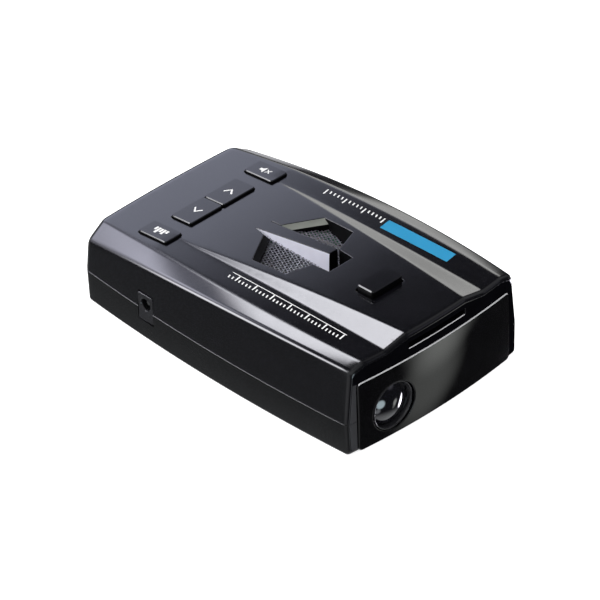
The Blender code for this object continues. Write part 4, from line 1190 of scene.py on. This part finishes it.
# ---- floor, light and camera ----
def make_floor():
    """A white floor just under the case, see-through from below."""
    mesh = bpy.data.meshes.new("floor")
    size, height = 3.0, -0.0001
    corners = ((-size, -size), (size, -size), (size, size), (-size, size))
    mesh.from_pydata([(x, y, height) for x, y in corners], [], [(0, 1, 2, 3)])
    floor = bpy.data.objects.new("floor", mesh)
    bpy.context.scene.collection.objects.link(floor)
    n = Nodes("floor_white")
    tone = n.noise(40.0, 3.0)
    white = n.mix(n.spread(tone, 0, 1), (0.9, 0.9, 0.9), (0.92, 0.92, 0.92))
    n.link(white, n.shader.inputs["Base Color"])
    n.plain(Roughness=0.9, Emission_Color=(1, 1, 1, 1), Emission_Strength=0.75,
            Specular_IOR_Level=0.0)
    from_below = n.add("NewGeometry").outputs["Backfacing"]
    above = n.add("Math", 1.0, from_below, operation="SUBTRACT")
    n.link(above.outputs[0], n.shader.inputs["Alpha"])
    mesh.materials.append(n.material)
    floor.visible_glossy = False


def direction(azimuth, elevation):
    """Azimuth 0 is +Y and 90 is +X."""
    az, el = radians(azimuth), radians(elevation)
    return Vector((sin(az) * cos(el), cos(az) * cos(el), sin(el)))


# Soft boxes round the object, as reflections show them: azimuth and elevation of the middle, where
# the soft edge starts and ends (all in degrees), colour, strength. The first seventeen give the
# photo's highlights in its own view. The others are wide and dim, so that no other view is black.
DIM = (0.95, 0.97, 1.0)
SOFT_BOXES = [
    (21, 52, 4, 9, (1.0, 1.0, 1.06), 14.0),
    (30, 18, 8, 19, (0.86, 0.9, 1.12), 1.9),
    (8, 36, 8, 24, (0.88, 0.9, 1.12), 1.6),
    (-14, 33, 8, 16, (0.93, 0.93, 1.1), 2.6),
    (-13, 42, 4, 10, (0.93, 0.93, 1.1), 3.0),
    (-18, 28, 14, 26, (0.93, 0.93, 1.1), 1.5),
    (-48, 27, 9, 17, (1.0, 1.0, 1.05), 15.0),
    (53, 19, 4, 8, (1.0, 1.0, 0.98), 3.0),
    (50, 8, 2, 7, (1.0, 1.0, 0.98), 2.2),
    (51, -21, 4, 9, (0.95, 0.95, 1.0), 0.9),
    (142, 18, 8, 18, (0.93, 0.93, 1.12), 0.4),
    (137, -29, 0, 8, (0.97, 1.0, 0.96), 1.7),
    (137, -37, 0, 6, (0.97, 1.0, 0.96), 0.8),
    (103, -35, 9, 12, (0.92, 0.9, 1.0), 14.0),
    (183, -18, 7, 14, (0.75, 0.92, 1.0), 4.5),
    (190, -36, 3, 9, (0.9, 0.95, 1.0), 1.2),
    (-50, -30, 20, 60, (0.95, 1.0, 1.0), 0.12),
    (100, 38, 10, 34, DIM, 0.5),
    (215, 35, 15, 45, DIM, 0.7),
    (280, 32, 15, 40, DIM, 0.5),
    (0, 90, 8, 26, DIM, 0.7),
    (96, -8, 6, 18, DIM, 0.35),
    (262, -12, 10, 40, DIM, 0.5),
    (0, -14, 8, 30, DIM, 0.5),
    (0, -90, 30, 50, DIM, 0.8),
]
AMBIENT, ROOM = 0.04, 0.35


def make_world():
    """A dark studio with soft boxes for glossy rays and an even grey room for the other rays.
    The camera itself sees plain white."""
    world = bpy.data.worlds.new("studio")
    bpy.context.scene.world = world
    world.use_nodes = True
    tree = world.node_tree
    tree.nodes.clear()
    way = add_node(tree, "TexCoord").outputs["Generated"]
    boxes = []
    for azimuth, elevation, inner, outer, colour, strength in SOFT_BOXES:
        dot = add_node(tree, "VectorMath", way, direction(azimuth, elevation),
                       operation="DOT_PRODUCT")
        edge = add_node(tree, "MapRange", dot.outputs["Value"],
                        cos(radians(outer)), cos(radians(inner)),
                        interpolation_type="SMOOTHSTEP")
        box = add_node(tree, "VectorMath", tinted(colour, strength), operation="SCALE")
        tree.links.new(edge.outputs["Result"], box.inputs["Scale"])
        boxes.append(box.outputs["Vector"])
    total = boxes[0]
    for box in [*boxes[1:], (AMBIENT, AMBIENT, AMBIENT * 1.08)]:
        total = add_node(tree, "VectorMath", total, box).outputs["Vector"]
    studio, room, white = [add_node(tree, "Background", source).outputs[0]
                           for source in (total, (ROOM, ROOM, ROOM, 1), (1, 1, 1, 1))]
    path = add_node(tree, "LightPath").outputs
    lit = add_node(tree, "MixShader", path["Is Glossy Ray"], room, studio).outputs[0]
    seen = add_node(tree, "MixShader", path["Is Camera Ray"], lit, white).outputs[0]
    add_node(tree, "OutputWorld", seen)


def area_light(name, azimuth, elevation, distance, size, power):
    light = bpy.data.lights.new(name, "AREA")
    light.shape = "DISK"
    light.size = size
    light.energy = power
    obj = bpy.data.objects.new(name, light)
    bpy.context.scene.collection.objects.link(obj)
    toward = direction(azimuth, elevation)
    obj.matrix_world = (Matrix.Translation(toward * distance)
                        @ toward.to_track_quat("Z", "Y").to_matrix().to_4x4())
    obj.visible_glossy = False
    obj.visible_camera = False


def make_camera():
    """The photo's view: a long lens, from the front left and above, rolled by two degrees."""
    camera = bpy.data.cameras.new("camera")
    camera.lens, camera.sensor_width = 281.85, 36.0
    obj = bpy.data.objects.new("camera", camera)
    bpy.context.scene.collection.objects.link(obj)
    back = Vector((-0.5512, -0.5921, 0.5879)).normalized()
    right = UP.cross(back).normalized()
    up = back.cross(right)
    roll = radians(-2.09)
    side = right * cos(roll) + up * sin(roll)
    rise = up * cos(roll) - right * sin(roll)
    place = Vector((0, 0.0006, 0.0147)) + back * 1.2969 + side * 0.00083 - rise * 0.00498
    obj.matrix_world = Matrix((side, rise, back)).transposed().to_4x4()
    obj.matrix_world.translation = place
    bpy.context.scene.camera = obj


make_floor()
make_world()
area_light("key_light", -70, 45, 0.8, 0.6, 5.0)
area_light("fill_light", 150, 50, 0.9, 0.7, 3.0)
area_light("top_light", 20, 80, 0.9, 0.8, 2.0)
make_camera()
bpy.context.scene.view_settings.view_transform = "Standard"
